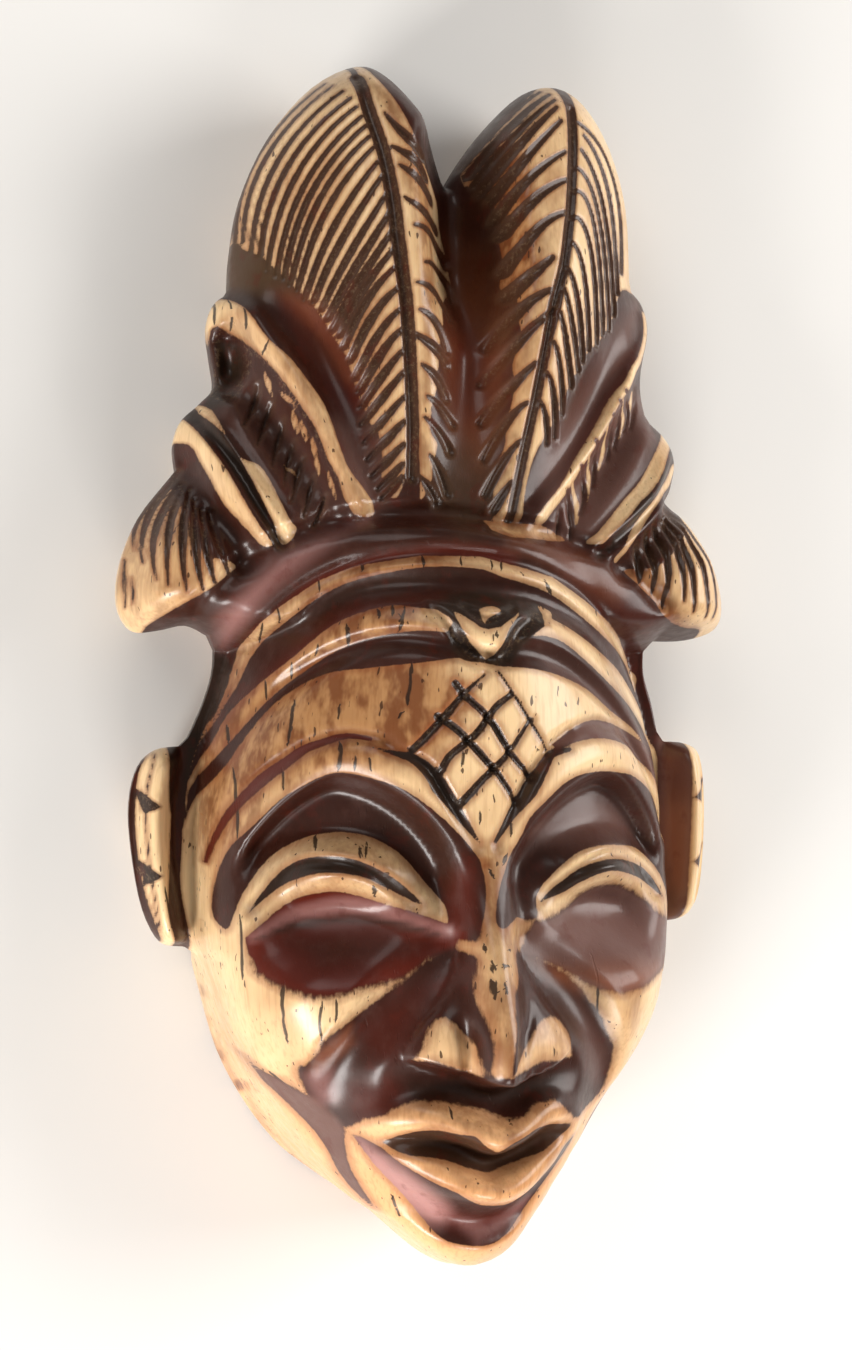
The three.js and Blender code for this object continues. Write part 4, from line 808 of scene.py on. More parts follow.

# Brown glaze on the bone, and in the broad patch over the upper left face painted shade as well:
# line, softness of its edge and strength
GLAZE_AND_SHADE_PATCHES: list[tuple[Points, float, float]] = [
    ([(-16, -0.6), (-10.6, 0.9), (-6, 1.2), (-6.4, 0.2), (-10.8, -0.9), (-14.6, -1.8),
      (-17.4, -5.4), (-19.4, -8.6), (-19, -6.2)], 0.5, 0.85),
    ([(-17.6, -7.8), (-14.4, -5.2), (-11.4, -4.3), (-9.2, -4.6), (-11.4, -4.9),
      (-14.2, -5.9)], 0.4, 0.7),
    ([(-18.4, 1.2), (-16.6, 4.4), (-12.8, 7.4), (-9, 8.9), (-9.4, 8.3), (-13, 6.6),
      (-16.6, 3), (-18, 0)], 0.35, 0.55),
    ([(-20.4, -6.8), (-17.2, -1.6), (-12.4, 3.2), (-8, 4.9), (-10, 3), (-13.8, 0.6),
      (-17, -2.9), (-20.4, -8)], 0.35, 0.45),
    ([(-4.2, -1.2), (-1.8, -0.3), (-0.6, -2.4), (-2.4, -3.4), (-3.8, -2.6)], 0.5, 0.7),
    ([(3, 47), (5.6, 47), (7, 42), (7.4, 36), (6.2, 31), (5.2, 25), (4, 18),
      (1, 18), (2, 30)], 1.3, 0.95),
    ([(-5.4, 17.8), (-3.4, 18.4), (-3, 15.4), (-4.8, 15)], 0.6, 0.5),
    ([(1.4, 13.8), (5, 13.8), (10, 12.6), (9, 11.2), (4, 11.2), (1.4, 12.2)], 0.6, 0.55),
    ([(-2.6, -21.2), (1, -20.4), (4.4, -20.6), (4.4, -22.4), (1.4, -23.2), (-1.6, -23.8)],
     0.6, 0.45),
    ([(-1.4, -15.2), (0.2, -15), (0.4, -16), (-1, -16.2)], 0.3, 0.8),
    # partly painted shade: this broad patch darkens the whole upper left face
    ([(-22, -14), (-21.6, -5), (-17, 4), (-10, 10), (-3, 10.6), (-5, 6), (-3, 1), (-2, -3),
      (-4, -7), (-10, -7.6), (-17, -11), (-20.6, -19)], 1.8, 0.85),
    ([(-14, 31), (-9, 33), (-6, 33), (-6, 16), (-8, 17), (-11, 27)], 1.4, 0.45),
    ([(-7.4, 52), (-5.6, 51), (-3.2, 45.6), (-1.6, 40), (-2.8, 30), (-3.2, 18), (-4.4, 18),
      (-3.8, 30), (-4.4, 40), (-6.2, 47)], 0.8, 0.6),
    ([(-21.6, 30), (-18, 32), (-13, 26), (-8, 14), (-10, 14), (-16, 26)], 0.6, 0.4),
    ([(8, 45), (10, 44), (8.6, 33), (5, 17), (3, 15), (5.4, 30)], 0.8, 0.3),
    ([(-24, 16), (-21, 11), (-23, 7), (-26, 4), (-30, 5), (-29, 12)], 1.0, 0.35),
    ([(-2.6, -15), (1.4, -14), (3, -22), (1.8, -31), (-1, -31), (-2.2, -23)], 1.0, 0.5),
    ([(-8.4, -39.6), (-2, -41.4), (3, -41.6), (8, -38.8), (5, -43.4), (-2, -44)], 0.8, 0.35),
    ([(-17.6, -20), (-15, -13), (-10, -11.4), (-5, -14.6), (-4, -18), (-9, -17)], 0.8, 0.3),
    ([(-14.4, -0.4), (-8, 0.2), (-2.4, -0.4), (-3.4, -3.4), (-8, -4), (-13.4, -3.4)], 1.4, 0.4),
    ([(-20.8, -14), (-19.2, -10.6), (-15.4, -6.8), (-11.6, -5.6), (-9.6, -6.4), (-12.4, -7.4),
      (-16, -9.4), (-19.2, -13.2)], 0.8, 0.4),
    ([(-8.6, -36.4), (-4, -35), (-1, -36.4), (2, -36.8), (5, -35.6), (7, -36.8), (4, -37.6),
      (1, -38.8), (-1.6, -37.6), (-5, -37.4)], 0.6, 0.5),
    ([(3.4, -32), (4, -29), (7, -29.6), (7.8, -32)], 0.8, 0.4),
    ([(9, -24.6), (12.6, -27), (13.2, -29), (14.4, -31.6), (15.4, -27.8), (13, -25)],
     1.2, 0.35),
    ([(17.8, 12), (19.4, 8.2), (22.4, 5.2), (24.6, 4), (20.4, 4.2), (17, 7.6),
      (15.4, 9.8)], 0.9, 0.85),
    ([(-22.2, 6.8), (-26.2, 4.6), (-28, 4.6), (-26, 6), (-23, 7.8)], 0.6, 0.45),
    *[([(x - 0.5, y + 0.3), (x + 0.1, y + 1.1), (x + 0.5, y), (x + 0.1, y - 1.1),
        (x - 0.4, y - 0.6)], 0.35, 0.9)
      for x, y in ((-20.9, -29.6), (-20.2, -32.6), (-18.9, -35.9), (-17, -38))],
]

# Age cracks and open pores, by how much wider than a hair they are
CRACKS: dict[float, list[Points]] = {
    0.0: [[(-12.7, 8.4), (-12.6, 7.1)], [(-17.1, 4.5), (-16.8, 2.9)], [(-16.1, 6), (-15.7, 4.5)],
          [(-12.9, 2.6), (-13, 1.7)], [(-14.8, 1.1), (-14.7, -0.3)],
          [(-16.7, -0.5), (-16.6, -2.1)], [(-16, -7.9), (-16.1, -9.7)],
          [(-12.4, -26.8), (-12.4, -28.7)], [(-16.7, -34), (-15, -35.4)],
          [(-1.2, 10.1), (-1.4, 9.3)], [(1.5, 9.8), (1.3, 9)], [(10.1, -23.9), (10.9, -29.6)],
          [(-20.3, 33.4), (-20.5, 31.1)], [(-19.3, 33.2), (-19.1, 30.4)],
          [(-18.3, 32.1), (-18.1, 30.3)], [(-16.5, 29.1), (-16.9, 27.9)],
          [(-24.9, -18.6), (-24.2, -22.4)]],
    0.02: [[(-6.9, -2.9), (-7.4, -3.6)], [(-10.7, -6.5), (-10.8, -7.9)],
           [(-9.7, -6.8), (-9.6, -7.9)], [(-19.4, -8.1), (-19.3, -11.3), (-19.4, -14)],
           [(-10, -14.3), (-10.2, -15.2)], [(-9.3, -14.1), (-9.7, -15.2)],
           [(-19.3, -20.4), (-19.2, -25.9)], [(-13.5, -27), (-13.7, -28.7), (-13.4, -30.3)],
           [(-9.2, 8.9), (-9.1, 9.7)], [(2.4, 9.8), (2.1, 8.9)], [(-6.9, -44.2), (-6, -46.5)]],
    0.04: [[(-19.6, -4.4), (-19.5, -5.9)], [(-6.4, 5.7), (-6.9, 3.7)], [(-7.3, 5.9), (-7.4, 4.9)],
           [(-8.4, 5.5), (-8.4, 4.8)], [(-14.8, -2.2), (-15.1, -3.5), (-15.5, -5.9)],
           [(-13.2, -13.6), (-13.5, -14.7)], [(-4.4, 10.1), (-4.5, 9.2)],
           [(-3.4, -35.7), (-3.4, -36.4)]],
    0.06: [[(-16.3, -25.6), (-16.5, -27.5), (-15.9, -30.8)], [(-0.9, -22.1), (-0.9, -22.6)],
           [(1, -22.6), (1.4, -22.7)], [(-2.1, -6.4), (-2.2, -7.6)],
           [(-0.6, -11.2), (-0.6, -12.3)], [(2.2, -12.2), (2.1, -13.4)]],
    0.08: [[(0.1, -16.2), (0.4, -16.8)]],
    0.1: [[(-10.8, 4.2), (-10.6, 2.6)], [(-6.1, 0.9), (-6.3, -0.3), (-6.6, -2.5)],
          [(-11.6, -2.5), (-11.8, -3.6)], [(-11.8, -5.7), (-12, -7.9)],
          [(-9, -17.7), (-8.8, -18.5)], [(6.4, 8), (7, 7)], [(-0.5, -23.4), (-0.5, -24.1)],
          [(0.4, -25.1), (0.5, -25.8)], [(1.7, -15), (1.4, -15.7)]],
    0.12: [[(0.3, -23.6), (0.9, -23.9)], [(0.9, 3.3), (0.9, 3.5)]],
    0.16: [[(-0.6, -24.9), (-0.5, -26.2)]],
}


@dataclass(frozen=True)
class EyeHollow:
    """Sunk crescent round the closed eye: crisp under the brow, soft on the cheek."""

    depth: float = 3.3
    upper_ease: float = 2.0
    lower_ease: float = 6.5
    upper: tuple = ((-21.1, -19.4), (-19.1, -14.3), (-15.8, -10.2), (-12.3, -8.1), (-9, -8.6),
                    (-5.9, -10.4), (-3.4, -13), (-1.9, -16), (-1.7, -19.5), (-2.2, -23))
    lower: tuple = ((-2.2, -23), (-5.4, -24.6), (-9, -26), (-13.5, -26.8), (-17.6, -25.6),
                    (-20, -22.8), (-21.1, -19.4))


@dataclass(frozen=True)
class Nose:
    """Wedge of the nose: half width and height along it, cut off at its lower edge.

    corner and power shape the curve across it, which is flat on top.
    """

    half: tuple = ((-33.6, 7.4), (-31, 7.3), (-29, 6.2), (-27, 4.6), (-24, 3), (-20, 2.4),
                   (-16, 2))
    height: tuple = ((-33.6, 2.7), (-30, 2.6), (-27, 1.9), (-24, 1.3), (-20, 0.9), (-16, 0))
    lower_edge: tuple = ((-8, -31), (-5.1, -31.7), (-2.6, -32.4), (0.2, -33.3), (2.8, -33.2),
                         (5.2, -32.6), (8.4, -31.2))
    ease: float = 0.9
    centre: float = 0.4
    top: float = -15.5
    corner: float = 2.6
    power: float = 0.6


@dataclass(frozen=True)
class Ear:
    """Flat upright ear with a sunk gap between it and the face.

    Each fade is where the ear's share starts and where it is whole: at its top, at its foot
    and beside the face.
    """

    gap_height: float = 5.2
    top_height: float = 10.6
    half: float = 3.1
    line: tuple = ((-24.9, -7.2), (-25.5, -11), (-25.4, -17), (-24.4, -23.6))
    top_fade: tuple = (-4.6, -7)
    foot_fade: tuple = (-25.2, -23.4)
    side_fade: tuple = (21.6, 22.8)


def ease(share: Array) -> Array:
    """Smooth 0-to-1 curve: three times the square less twice the cube."""
    return share * share * (3 - 2 * share)


def step(low: float, high: float, value: Array) -> Array:
    """Smooth rise from 0 at low to 1 at high; low may lie above high."""
    return ease(np.clip((value - low) / (high - low), 0, 1))


def bump(ratio: Array) -> Array:
    """Round hump: the square of one less the ratio squared, and 0 from ratio 1 on."""
    return np.where(ratio < 1, (1 - np.minimum(ratio, 1) ** 2) ** 2, 0)


def quarter_round(ratio: Array) -> Array:
    """Quarter of a circle: 0 and steep at ratio 0, 1 and level from ratio 1 on."""
    return np.sqrt(1 - (1 - np.minimum(ratio, 1)) ** 2)


def along(values: tuple[float, float, float], share: Array) -> Array:
    """Value at a share of the way: straight from first to middle and from there to last."""
    return np.interp(share, (0.0, 0.5, 1.0), values)


def mirrored(line: Points) -> list[tuple[float, float]]:
    """The same line on the other side of the face."""
    return [(-x, y) for x, y in line]


def copies(line: Points, twin: bool) -> list[Points]:
    """The line, and with twin its mirror image too."""
    return [line, mirrored(line)] if twin else [line]


def stations(points: Points) -> Callable[[Array], Array]:
    """Smooth function through stations: a cubic over each span with neighbour slopes.

    Args:
        points: places and values, places rising.

    Returns:
        A function from places to values, flat beyond the ends.
    """
    table = np.array(points, float)
    place, value = table[:, 0], table[:, 1]
    index = np.arange(len(place))
    before, after = np.maximum(index - 1, 0), np.minimum(index + 1, len(place) - 1)
    slope = (value[after] - value[before]) / (place[after] - place[before])

    def value_at(at: Array) -> Array:
        """Value at each place."""
        at = np.clip(at, place[0], place[-1])
        k = np.clip(np.searchsorted(place, at) - 1, 0, len(place) - 2)
        span = place[k + 1] - place[k]
        t = (at - place[k]) / span
        rise = ease(t)
        bend = t * (1 - t) ** 2 * slope[k] - t * t * (1 - t) * slope[k + 1]
        return (1 - rise) * value[k] + rise * value[k + 1] + span * bend

    return value_at


def smooth_line(points: Points, per_span: int = 5) -> Array:
    """Points of a smooth curve through the given ones, by uniform Catmull-Rom spans."""
    p = np.array(points, float)
    last = len(p) - 1
    u = np.linspace(0, last, last * per_span + 1)
    i = np.minimum(u.astype(int), last - 1)
    w = (u - i)[:, None]
    a, b = p[np.maximum(i - 1, 0)], p[i]
    c, d = p[i + 1], p[np.minimum(i + 2, last)]
    v0, v1 = (c - a) / 2, (d - b) / 2
    return ((2 * b - 2 * c + v0 + v1) * w**3 + (3 * c - 3 * b - 2 * v0 - v1) * w**2
            + v0 * w + b)


@dataclass
class Nearness:
    """How some places of a sheet lie to a path.

    hit are their indices; distance, share along the path and side go with them, and so do
    the nearest spots of the path, foot_x and foot_y.
    """

    hit: Array
    distance: Array
    share: Array
    side: Array
    foot_x: Array
    foot_y: Array


@dataclass
class Sheet:
    """Plan places at which heights and stains are worked out, in millimetres."""

    x: Array
    y: Array

    def near(self, path: Array, pad: float) -> Nearness:
        """Places close to a path: the nearest spot of each straight piece, kept if closest.

        Args:
            path: points of the path.
            pad: how far from the path's box a place may be.

        Returns:
            The places found and how they lie to the path.
        """
        low, high = path.min(0) - pad, path.max(0) + pad
        hit = np.nonzero((self.x >= low[0]) & (self.x <= high[0])
                         & (self.y >= low[1]) & (self.y <= high[1]))[0]
        x, y = self.x[hit], self.y[hit]
        lengths = np.hypot(*np.diff(path, axis=0).T)
        walked = np.concatenate([[0], np.cumsum(lengths)])
        found = Nearness(hit, np.full(x.shape, FAR), np.zeros(x.shape), np.ones(x.shape),
                         x.copy(), y.copy())
        for k in np.nonzero(lengths > TINY)[0]:
            dx, dy = path[k + 1] - path[k]
            rx, ry = x - path[k, 0], y - path[k, 1]
            t = np.clip((rx * dx + ry * dy) / lengths[k] ** 2, 0, 1)
            distance = np.hypot(rx - t * dx, ry - t * dy)
            closer = np.nonzero(distance < found.distance)[0]
            found.distance[closer] = distance[closer]
            found.share[closer] = (walked[k] + t[closer] * lengths[k]) / walked[-1]
            found.side[closer] = np.sign(dx * ry[closer] - dy * rx[closer])
            found.foot_x[closer] = path[k, 0] + t[closer] * dx
            found.foot_y[closer] = path[k, 1] + t[closer] * dy
        return found

    def inside(self, path: Array) -> Array:
        """Whether each place is inside a closed path, by counting crossings."""
        within = np.zeros(self.x.shape, bool)
        for k in range(len(path)):
            ax, ay = path[k]
            bx, by = path[(k + 1) % len(path)]
            if ay == by:
                continue
            crosses = (ay > self.y) != (by > self.y)
            left = self.x < (bx - ax) * (self.y - ay) / (by - ay) + ax
            within ^= crosses & left
        return within

    def signed(self, path: Array, reach: float) -> Array:
        """Distance to a closed path, above 0 inside, held to within reach."""
        closed = np.vstack([path, path[:1]])
        result = np.where(self.inside(path), reach, -reach)
        found = self.near(closed, reach)
        sign = np.where(result[found.hit] > 0, 1, -1)
        result[found.hit] = sign * np.minimum(found.distance, reach)
        return result


@dataclass
class MaskForm:
    """Heights of the carving over its plan, from the same sizes as the solid.

    A fade is where along the mask one form starts to give way to the next and where it has
    done so. A corner and a power shape a curve across. The flank is at least flank_least
    wide, and ends flank_foot over the widest line. Past face_end the face falls away by
    face_fall a millimetre. The body of the hair lies hair_drop deeper at hair_start and rises
    until hair_rise past the crest's start. front_round is how wide the edge is rounded on the
    face and on the crest, back_round at the chin and above it, and a split is where the one
    changes to the other. A hollow is given by its middle, half width, half length and depth.
    """

    eye: EyeHollow = field(default_factory=EyeHollow)
    nose: Nose = field(default_factory=Nose)
    ear: Ear = field(default_factory=Ear)
    chin_rim_low: float = -49.5
    chin_rim_curve: float = 0.024
    chin_reach: float = 3.4
    ear_fade: tuple = (-22.5, -27.5)
    crest_fade: tuple = (-2, 4)
    dome_corner: float = 2.1
    flank_least: float = 0.6
    flank_foot: float = 0.6
    flank_reach: float = 1.4
    flank_power: float = 0.85
    face_end: float = 13.0
    face_fall: float = 2.0
    crest_corner: float = 2.2
    crest_power: float = 0.7
    hair_start: float = -3.0
    hair_rise: float = 3.0
    hair_drop: float = 20.0
    blend: float = 1.1
    front_split: float = 2.0
    front_round: tuple = (2.2, 3.6)
    back_split: float = -24.0
    back_round: tuple = (4.0, 5.5)
    outline_spans: int = 4
    face_hollow: tuple = (-21.0, 15.5, 23.0, 17.5)
    crest_hollow: tuple = (24.5, 11.0, 16.5, 6.5)

    def __post_init__(self) -> None:
        """Prepare the smooth sections and the outline."""
        self.outline = np.vstack([smooth_line(run, self.outline_spans)
                                  for run in OUTLINE_RUNS.values()])
        self.jaw_half = stations(JAW_HALF)
        self.rim_half = stations(RIM_HALF)
        self.jaw_height = stations(JAW_HEIGHT)
        self.middle_height = stations(MIDDLE_HEIGHT)
        self.dome_power = stations(DOME_POWER)
        self.crest_height = stations(CREST_HEIGHT)
        self.crest_half = stations(CREST_HALF)

    def chin_share(self, x: Array, y: Array) -> Array:
        """How far a place stands out over the rim under the chin, 0 to 1."""
        rim_y = self.chin_rim_low + self.chin_rim_curve * x * x
        return step(0, self.chin_reach, rim_y - y)

    def equator(self, x: Array, y: Array) -> Array:
        """Height at which the outline stands widest: low at the rim, high at chin and crest."""
        side = EAR_EQUATOR + (RIM_EQUATOR - EAR_EQUATOR) * step(*self.ear_fade, y)
        crest = side + (CREST_EQUATOR - side) * step(*self.crest_fade, y)
        return crest + (CHIN_EQUATOR - crest) * self.chin_share(x, y)

    def face(self, x: Array, y: Array) -> Array:
        """Oval dome over the jaw line, and a steep flank from there down to the rim."""
        half = self.jaw_half(y)
        reach = np.abs(x)
        across = np.minimum(reach / half, 1) ** self.dome_corner
        fill = (1 - across) ** self.dome_power(y)
        dome = self.jaw_height(y) + (self.middle_height(y) - self.jaw_height(y)) * fill
        share = (np.maximum(reach - half, 0)
                 / np.maximum(self.rim_half(y) - half, self.flank_least))
        foot = self.equator(x, y) + self.flank_foot
        fall = np.minimum(share, self.flank_reach) ** self.flank_power
        flank = dome + (foot - dome) * fall
        return flank - np.maximum(y - self.face_end, 0) * self.face_fall

    def crest(self, x: Array, y: Array) -> Array:
        """Rounded body of the hair: flat topped across, falling to its widest line."""
        reach = np.minimum(np.abs(x) / self.crest_half(y), 1)
        rise = (1 - reach**self.crest_corner) ** self.crest_power
        return CREST_EQUATOR + (self.crest_height(y) - CREST_EQUATOR) * rise

    def body(self, sheet: Sheet) -> Array:
        """Face and crest joined by a smooth maximum."""
        face = self.face(sheet.x, sheet.y)
        crest = self.crest(sheet.x, sheet.y)
        risen = step(self.hair_start, CREST_START + self.hair_rise, sheet.y)
        crest = crest - (1 - risen) * self.hair_drop
        mix = np.clip(0.5 + (face - crest) / (2 * self.blend), 0, 1)
        joined = crest + (face - crest) * mix + self.blend * mix * (1 - mix)
        return np.where(sheet.y > self.hair_start, joined, face)

    def carve(self, sheet: Sheet, cuts: list[Cut]) -> Array:
        """Sum of the cuts: each is a round hump across its line, fading to its ends."""
        total = np.zeros(sheet.x.shape)
        for cut in cuts:
            for line in copies(cut.line, cut.twin):
                spot = sheet.near(smooth_line(line), cut.half)
                near_end = np.where(spot.share < 0.5, cut.ends[0], cut.ends[1])
                middle = step(0, 0.5, 0.5 - np.abs(spot.share - 0.5))
                strength = near_end + (1 - near_end) * middle
                total[spot.hit] += cut.height * strength * bump(spot.distance / cut.half)
        return total

    def eye_depth(self, sheet: Sheet) -> Array:
        """Depth of both eye hollows: one ease from the brow edge times one from the cheek."""
        depth = np.zeros(sheet.x.shape)
        for turn in (list, mirrored):
            upper = smooth_line(turn(self.eye.upper))
            lower = smooth_line(turn(self.eye.lower))
            within = sheet.inside(np.vstack([upper, lower]))
            parts = []
            for path, reach in ((upper, self.eye.upper_ease), (lower, self.eye.lower_ease)):
                distance = np.full(sheet.x.shape, FAR)
                spot = sheet.near(path, reach + 1)
                distance[spot.hit] = spot.distance
                parts.append(step(0, reach, distance))
            depth = np.maximum(depth, within * self.eye.depth * parts[0] * parts[1])
        return depth

    def nose_rise(self, sheet: Sheet) -> Array:
        """Wedge: its height along the nose times a flat-topped curve across it."""
        half = stations(self.nose.half)(sheet.y)
        height = stations(self.nose.height)(sheet.y)
        reach = np.minimum(np.abs(sheet.x - self.nose.centre) / half, 1)
        edge = stations(self.nose.lower_edge)(sheet.x)
        above = step(-self.nose.ease, 0, sheet.y - edge)
        rise = height * (1 - reach**self.nose.corner) ** self.nose.power * above
        return np.where(sheet.y > self.nose.top, 0, rise)

    def with_ears(self, height: Array, sheet: Sheet) -> Array:
        """Replace the height beside the face by the gap and the ear that rises from it."""
        band = (step(*self.ear.top_fade, sheet.y) * step(*self.ear.foot_fade, sheet.y)
                * step(*self.ear.side_fade, np.abs(sheet.x)))
        ear = np.full(sheet.x.shape, self.ear.gap_height)
        for line in copies(self.ear.line, True):
            spot = sheet.near(smooth_line(line), self.ear.half)
            rise = self.ear.top_height - self.ear.gap_height
            ear[spot.hit] += rise * bump(spot.distance / self.ear.half)
        return height + (ear - height) * band

    def front(self, sheet: Sheet, inner: Array, fine: Array) -> Array:
        """Upper surface, rounded off to the widest line near the outline.

        Args:
            sheet: the places.
            inner: depth of each place inside the outline.
            fine: height of the fine cuts, added before the rounding.

        Returns:
            Heights in millimetres.
        """
        height = self.body(sheet) + self.carve(sheet, CARVING) + fine
        height = height - self.eye_depth(sheet) + self.nose_rise(sheet)
        height = self.with_ears(height, sheet)
        on_face, on_crest = self.front_round
        round_off = np.where(sheet.y > self.front_split, on_crest, on_face)
        edge = self.equator(sheet.x, sheet.y) + RIM_BAND
        share = quarter_round(inner / round_off)
        return np.maximum(edge + (height - edge) * share, edge)

    def back(self, sheet: Sheet, inner: Array) -> Array:
        """Underside: flat rim, rounded up to the widest line, with the two hollows."""
        edge = np.maximum(self.equator(sheet.x, sheet.y) - RIM_BAND, 0)
        at_chin, above = self.back_round
        round_off = np.where(sheet.y > self.back_split, above, at_chin)
        lift = 1 - quarter_round(inner / round_off)
        height = edge * np.maximum(lift, self.chin_share(sheet.x, sheet.y))
        for middle, half_width, half_length, depth in (self.face_hollow, self.crest_hollow):
            rho = np.hypot(sheet.x / half_width, (sheet.y - middle) / half_length)
            bowl = depth * np.sqrt(np.maximum(1 - rho**2, 0))
            height = np.maximum(height, bowl)
        return height


@dataclass
class Strokes:
    """All the single strokes of one row of barbs, worked out from its three guide lines.

    slide is how far chance moves a stroke along its row, and stretch how far it moves the tip.
    """

    barbs: Barbs
    rng: np.random.Generator
    guide_spans: int = 8
    points: int = 13
    slide: float = 0.3
    stretch: float = 0.5

    def paths(self) -> list[tuple[Array, float]]:
        """Quadratic curves from the start guide through the middle guide to the end guide.

        Returns:
            The points of each stroke and how wide it is against the row's own width.
        """
        guides = [smooth_line(line, self.guide_spans) for line in
                  (self.barbs.start, self.barbs.middle, self.barbs.end)]
        places = np.arange(len(guides[0]))
        u = np.linspace(0, 1, self.points)[:, None]
        row = []
        for k in range(self.barbs.count):
            slid, _, stretched, swelled = self.rng.uniform(-1, 1, 4) * self.barbs.wobble
            share = k / (self.barbs.count - 1)
            moved = share + self.slide * slid / self.barbs.count
            at = min(max(moved, 0), 1) * places[-1]
            start, middle, end = (np.array([np.interp(at, places, guide[:, 0]),
                                            np.interp(at, places, guide[:, 1])])
                                  for guide in guides)
            end = end + (end - middle) * stretched * self.stretch
            control = 2 * middle - (start + end) / 2
            path = (1 - u) ** 2 * start + 2 * u * (1 - u) * control + u**2 * end
            row.append((path, along(self.barbs.sizes, share) * (1 + swelled)))
        return row


@dataclass
class HairCutting:
    """The graved strokes of the hair: their depth and their stain.

    stain_share is how wide the stain of a stroke is against its cut.
    """

    rows: list[Barbs]
    seed: int = 11
    stain_share: float = 1.08

    def __post_init__(self) -> None:
        """Lay out every stroke once, in a fixed random order."""
        rng = np.random.default_rng(self.seed)
        self.strokes = [(row, path, broad) for row in self.rows
                        for path, broad in Strokes(row, rng).paths()]

    def relief(self, sheet: Sheet) -> Array:
        """Height of the strokes: the deepest one at each place, round across."""
        total = np.zeros(sheet.x.shape)
        for row, path, broad in self.strokes:
            spot = sheet.near(path, max(row.halves) * broad)
            half = along(row.halves, spot.share) * broad
            cut = row.height * np.minimum(half / max(row.halves), 1) * bump(spot.distance / half)
            total[spot.hit] = np.minimum(total[spot.hit], cut)
        return total


@dataclass
class StainMap:
    """Signed distance into the stain at each place, its colour and how ragged its edge is."""

    depth: Array
    tone: Array
    ragged: Array


@dataclass
class StainField:
    """Where the stain lies, as distances in millimetres, and what kind it is.

    Distances are held to reach. An edge gives the distances between which a tone or a ragged
    edge sets in. Towards both ends of a crack, from the first to the second share away from
    its middle, crack_taper takes its width away.
    """

    reach: float = 2.0
    soft_reach: float = 3.0
    tone_edge: tuple = (-0.4, 0.3)
    ragged_edge: tuple = (-1.6, -0.4)
    stroke_edge: tuple = (-0.3, 0.1)
    stroke_pad: float = 0.6
    crack_reach: float = 1.0
    crack_taper: float = 0.12
    crack_ends: tuple = (0.35, 0.5)

    def amount(self, sheet: Sheet, layer: Mark | Patch, line: Points) -> tuple[Array, Array]:
        """Signed distance of the places to a mark or patch, above 0 on it.

        Args:
            sheet: the places.
            layer: the mark or patch.
            line: its own line or the mirrored one.

        Returns:
            Indices of the places in reach and their signed distances.
        """
        path = smooth_line(line) if layer.smooth else np.array(line, float)
        if isinstance(layer, Mark):
            spot = sheet.near(path, max(layer.halves) + self.reach)
            return spot.hit, along(layer.halves, spot.share) - spot.distance
        signed = sheet.signed(path, self.reach)
        return np.arange(len(signed)), signed

    def soft_inside(self, sheet: Sheet, line: Points, soft: float) -> Array:
        """1 inside a closed line and 0 outside it, with an edge soft millimetres to each side."""
        return step(-soft, soft, sheet.signed(smooth_line(line), self.soft_reach))

    def evaluate(self, sheet: Sheet, hair: HairCutting) -> StainMap:
        """Lay the marks, the patches and the strokes over each other, then tint the stain; some
        tints are painted sheen and highlights.

        Args:
            sheet: the places.
            hair: the strokes of the hair.

        Returns:
            The stain at every place, its depth above 0 where stained.
        """
        count = len(sheet.x)
        found = StainMap(np.full(count, -self.reach), np.tile(Tone.BROWN.value, (count, 1)),
                         np.zeros(count))
        for layer in STAIN_LAYERS:
            if isinstance(layer, Barbs):
                self.add_strokes(sheet, layer, hair, found)
                continue
            for line in copies(layer.line, layer.twin):
                hit, signed = self.amount(sheet, layer, line)
                if layer.finish is Finish.BARE:
                    bare = np.maximum(-signed, -self.reach)
                    found.depth[hit] = np.minimum(found.depth[hit], bare)
                    continue
                dark = np.minimum(signed, self.reach)
                found.depth[hit] = np.maximum(found.depth[hit], dark)
                tinted = step(*self.tone_edge, signed)[:, None]
                found.tone[hit] += (layer.tone.value - found.tone[hit]) * tinted
                loose = layer.ragged * step(*self.ragged_edge, signed)
                found.ragged[hit] = np.maximum(found.ragged[hit], loose)
        for tint in TINTS:
            share = tint.strength * self.soft_inside(sheet, tint.line, tint.soft)[:, None]
            found.tone += (tint.tone.value - found.tone) * share
        return found

    def add_strokes(self, sheet: Sheet, row: Barbs, hair: HairCutting, found: StainMap) -> None:
        """Stain the strokes of one row, from their middle to a little past their sides."""
        for owner, path, broad in hair.strokes:
            if owner is not row:
                continue
            spot = sheet.near(path, max(row.halves) * broad + self.stroke_pad)
            signed = along(row.halves, spot.share) * broad * hair.stain_share - spot.distance
            hit = spot.hit
            found.depth[hit] = np.maximum(found.depth[hit], signed)
            tinted = step(*self.stroke_edge, signed)[:, None]
            found.tone[hit] += (row.tone.value - found.tone[hit]) * tinted

    def glaze_and_shade(self, sheet: Sheet) -> Array:
        """Strength of the brown glaze left on the bone, and of the painted shade over the upper
        left face, soft at the edge of each patch.
        """
        total = np.zeros(sheet.x.shape)
        for line, soft, strength in GLAZE_AND_SHADE_PATCHES:
            total = np.maximum(total, strength * self.soft_inside(sheet, line, soft))
        return total

    def cracks(self, sheet: Sheet) -> tuple[Array, Array]:
        """Distances in millimetres to the nearest age crack, which narrows at its ends.

        Args:
            sheet: the plan places.

        Returns:
            The distance, held to the reach, and the same with its side as its sign.
        """
        nearest = np.full(sheet.x.shape, self.crack_reach)
        sided = nearest.copy()
        for wider, lines in CRACKS.items():
            for line in lines:
                spot = sheet.near(smooth_line(line), self.crack_reach)
                ending = step(*self.crack_ends, np.abs(spot.share - 0.5))
                away = spot.distance + self.crack_taper * ending - wider
                closer = away < nearest[spot.hit]
                hit = spot.hit[closer]
                nearest[hit] = away[closer]
                sided[hit] = spot.side[closer] * np.maximum(away[closer], 0)
        return nearest, sided


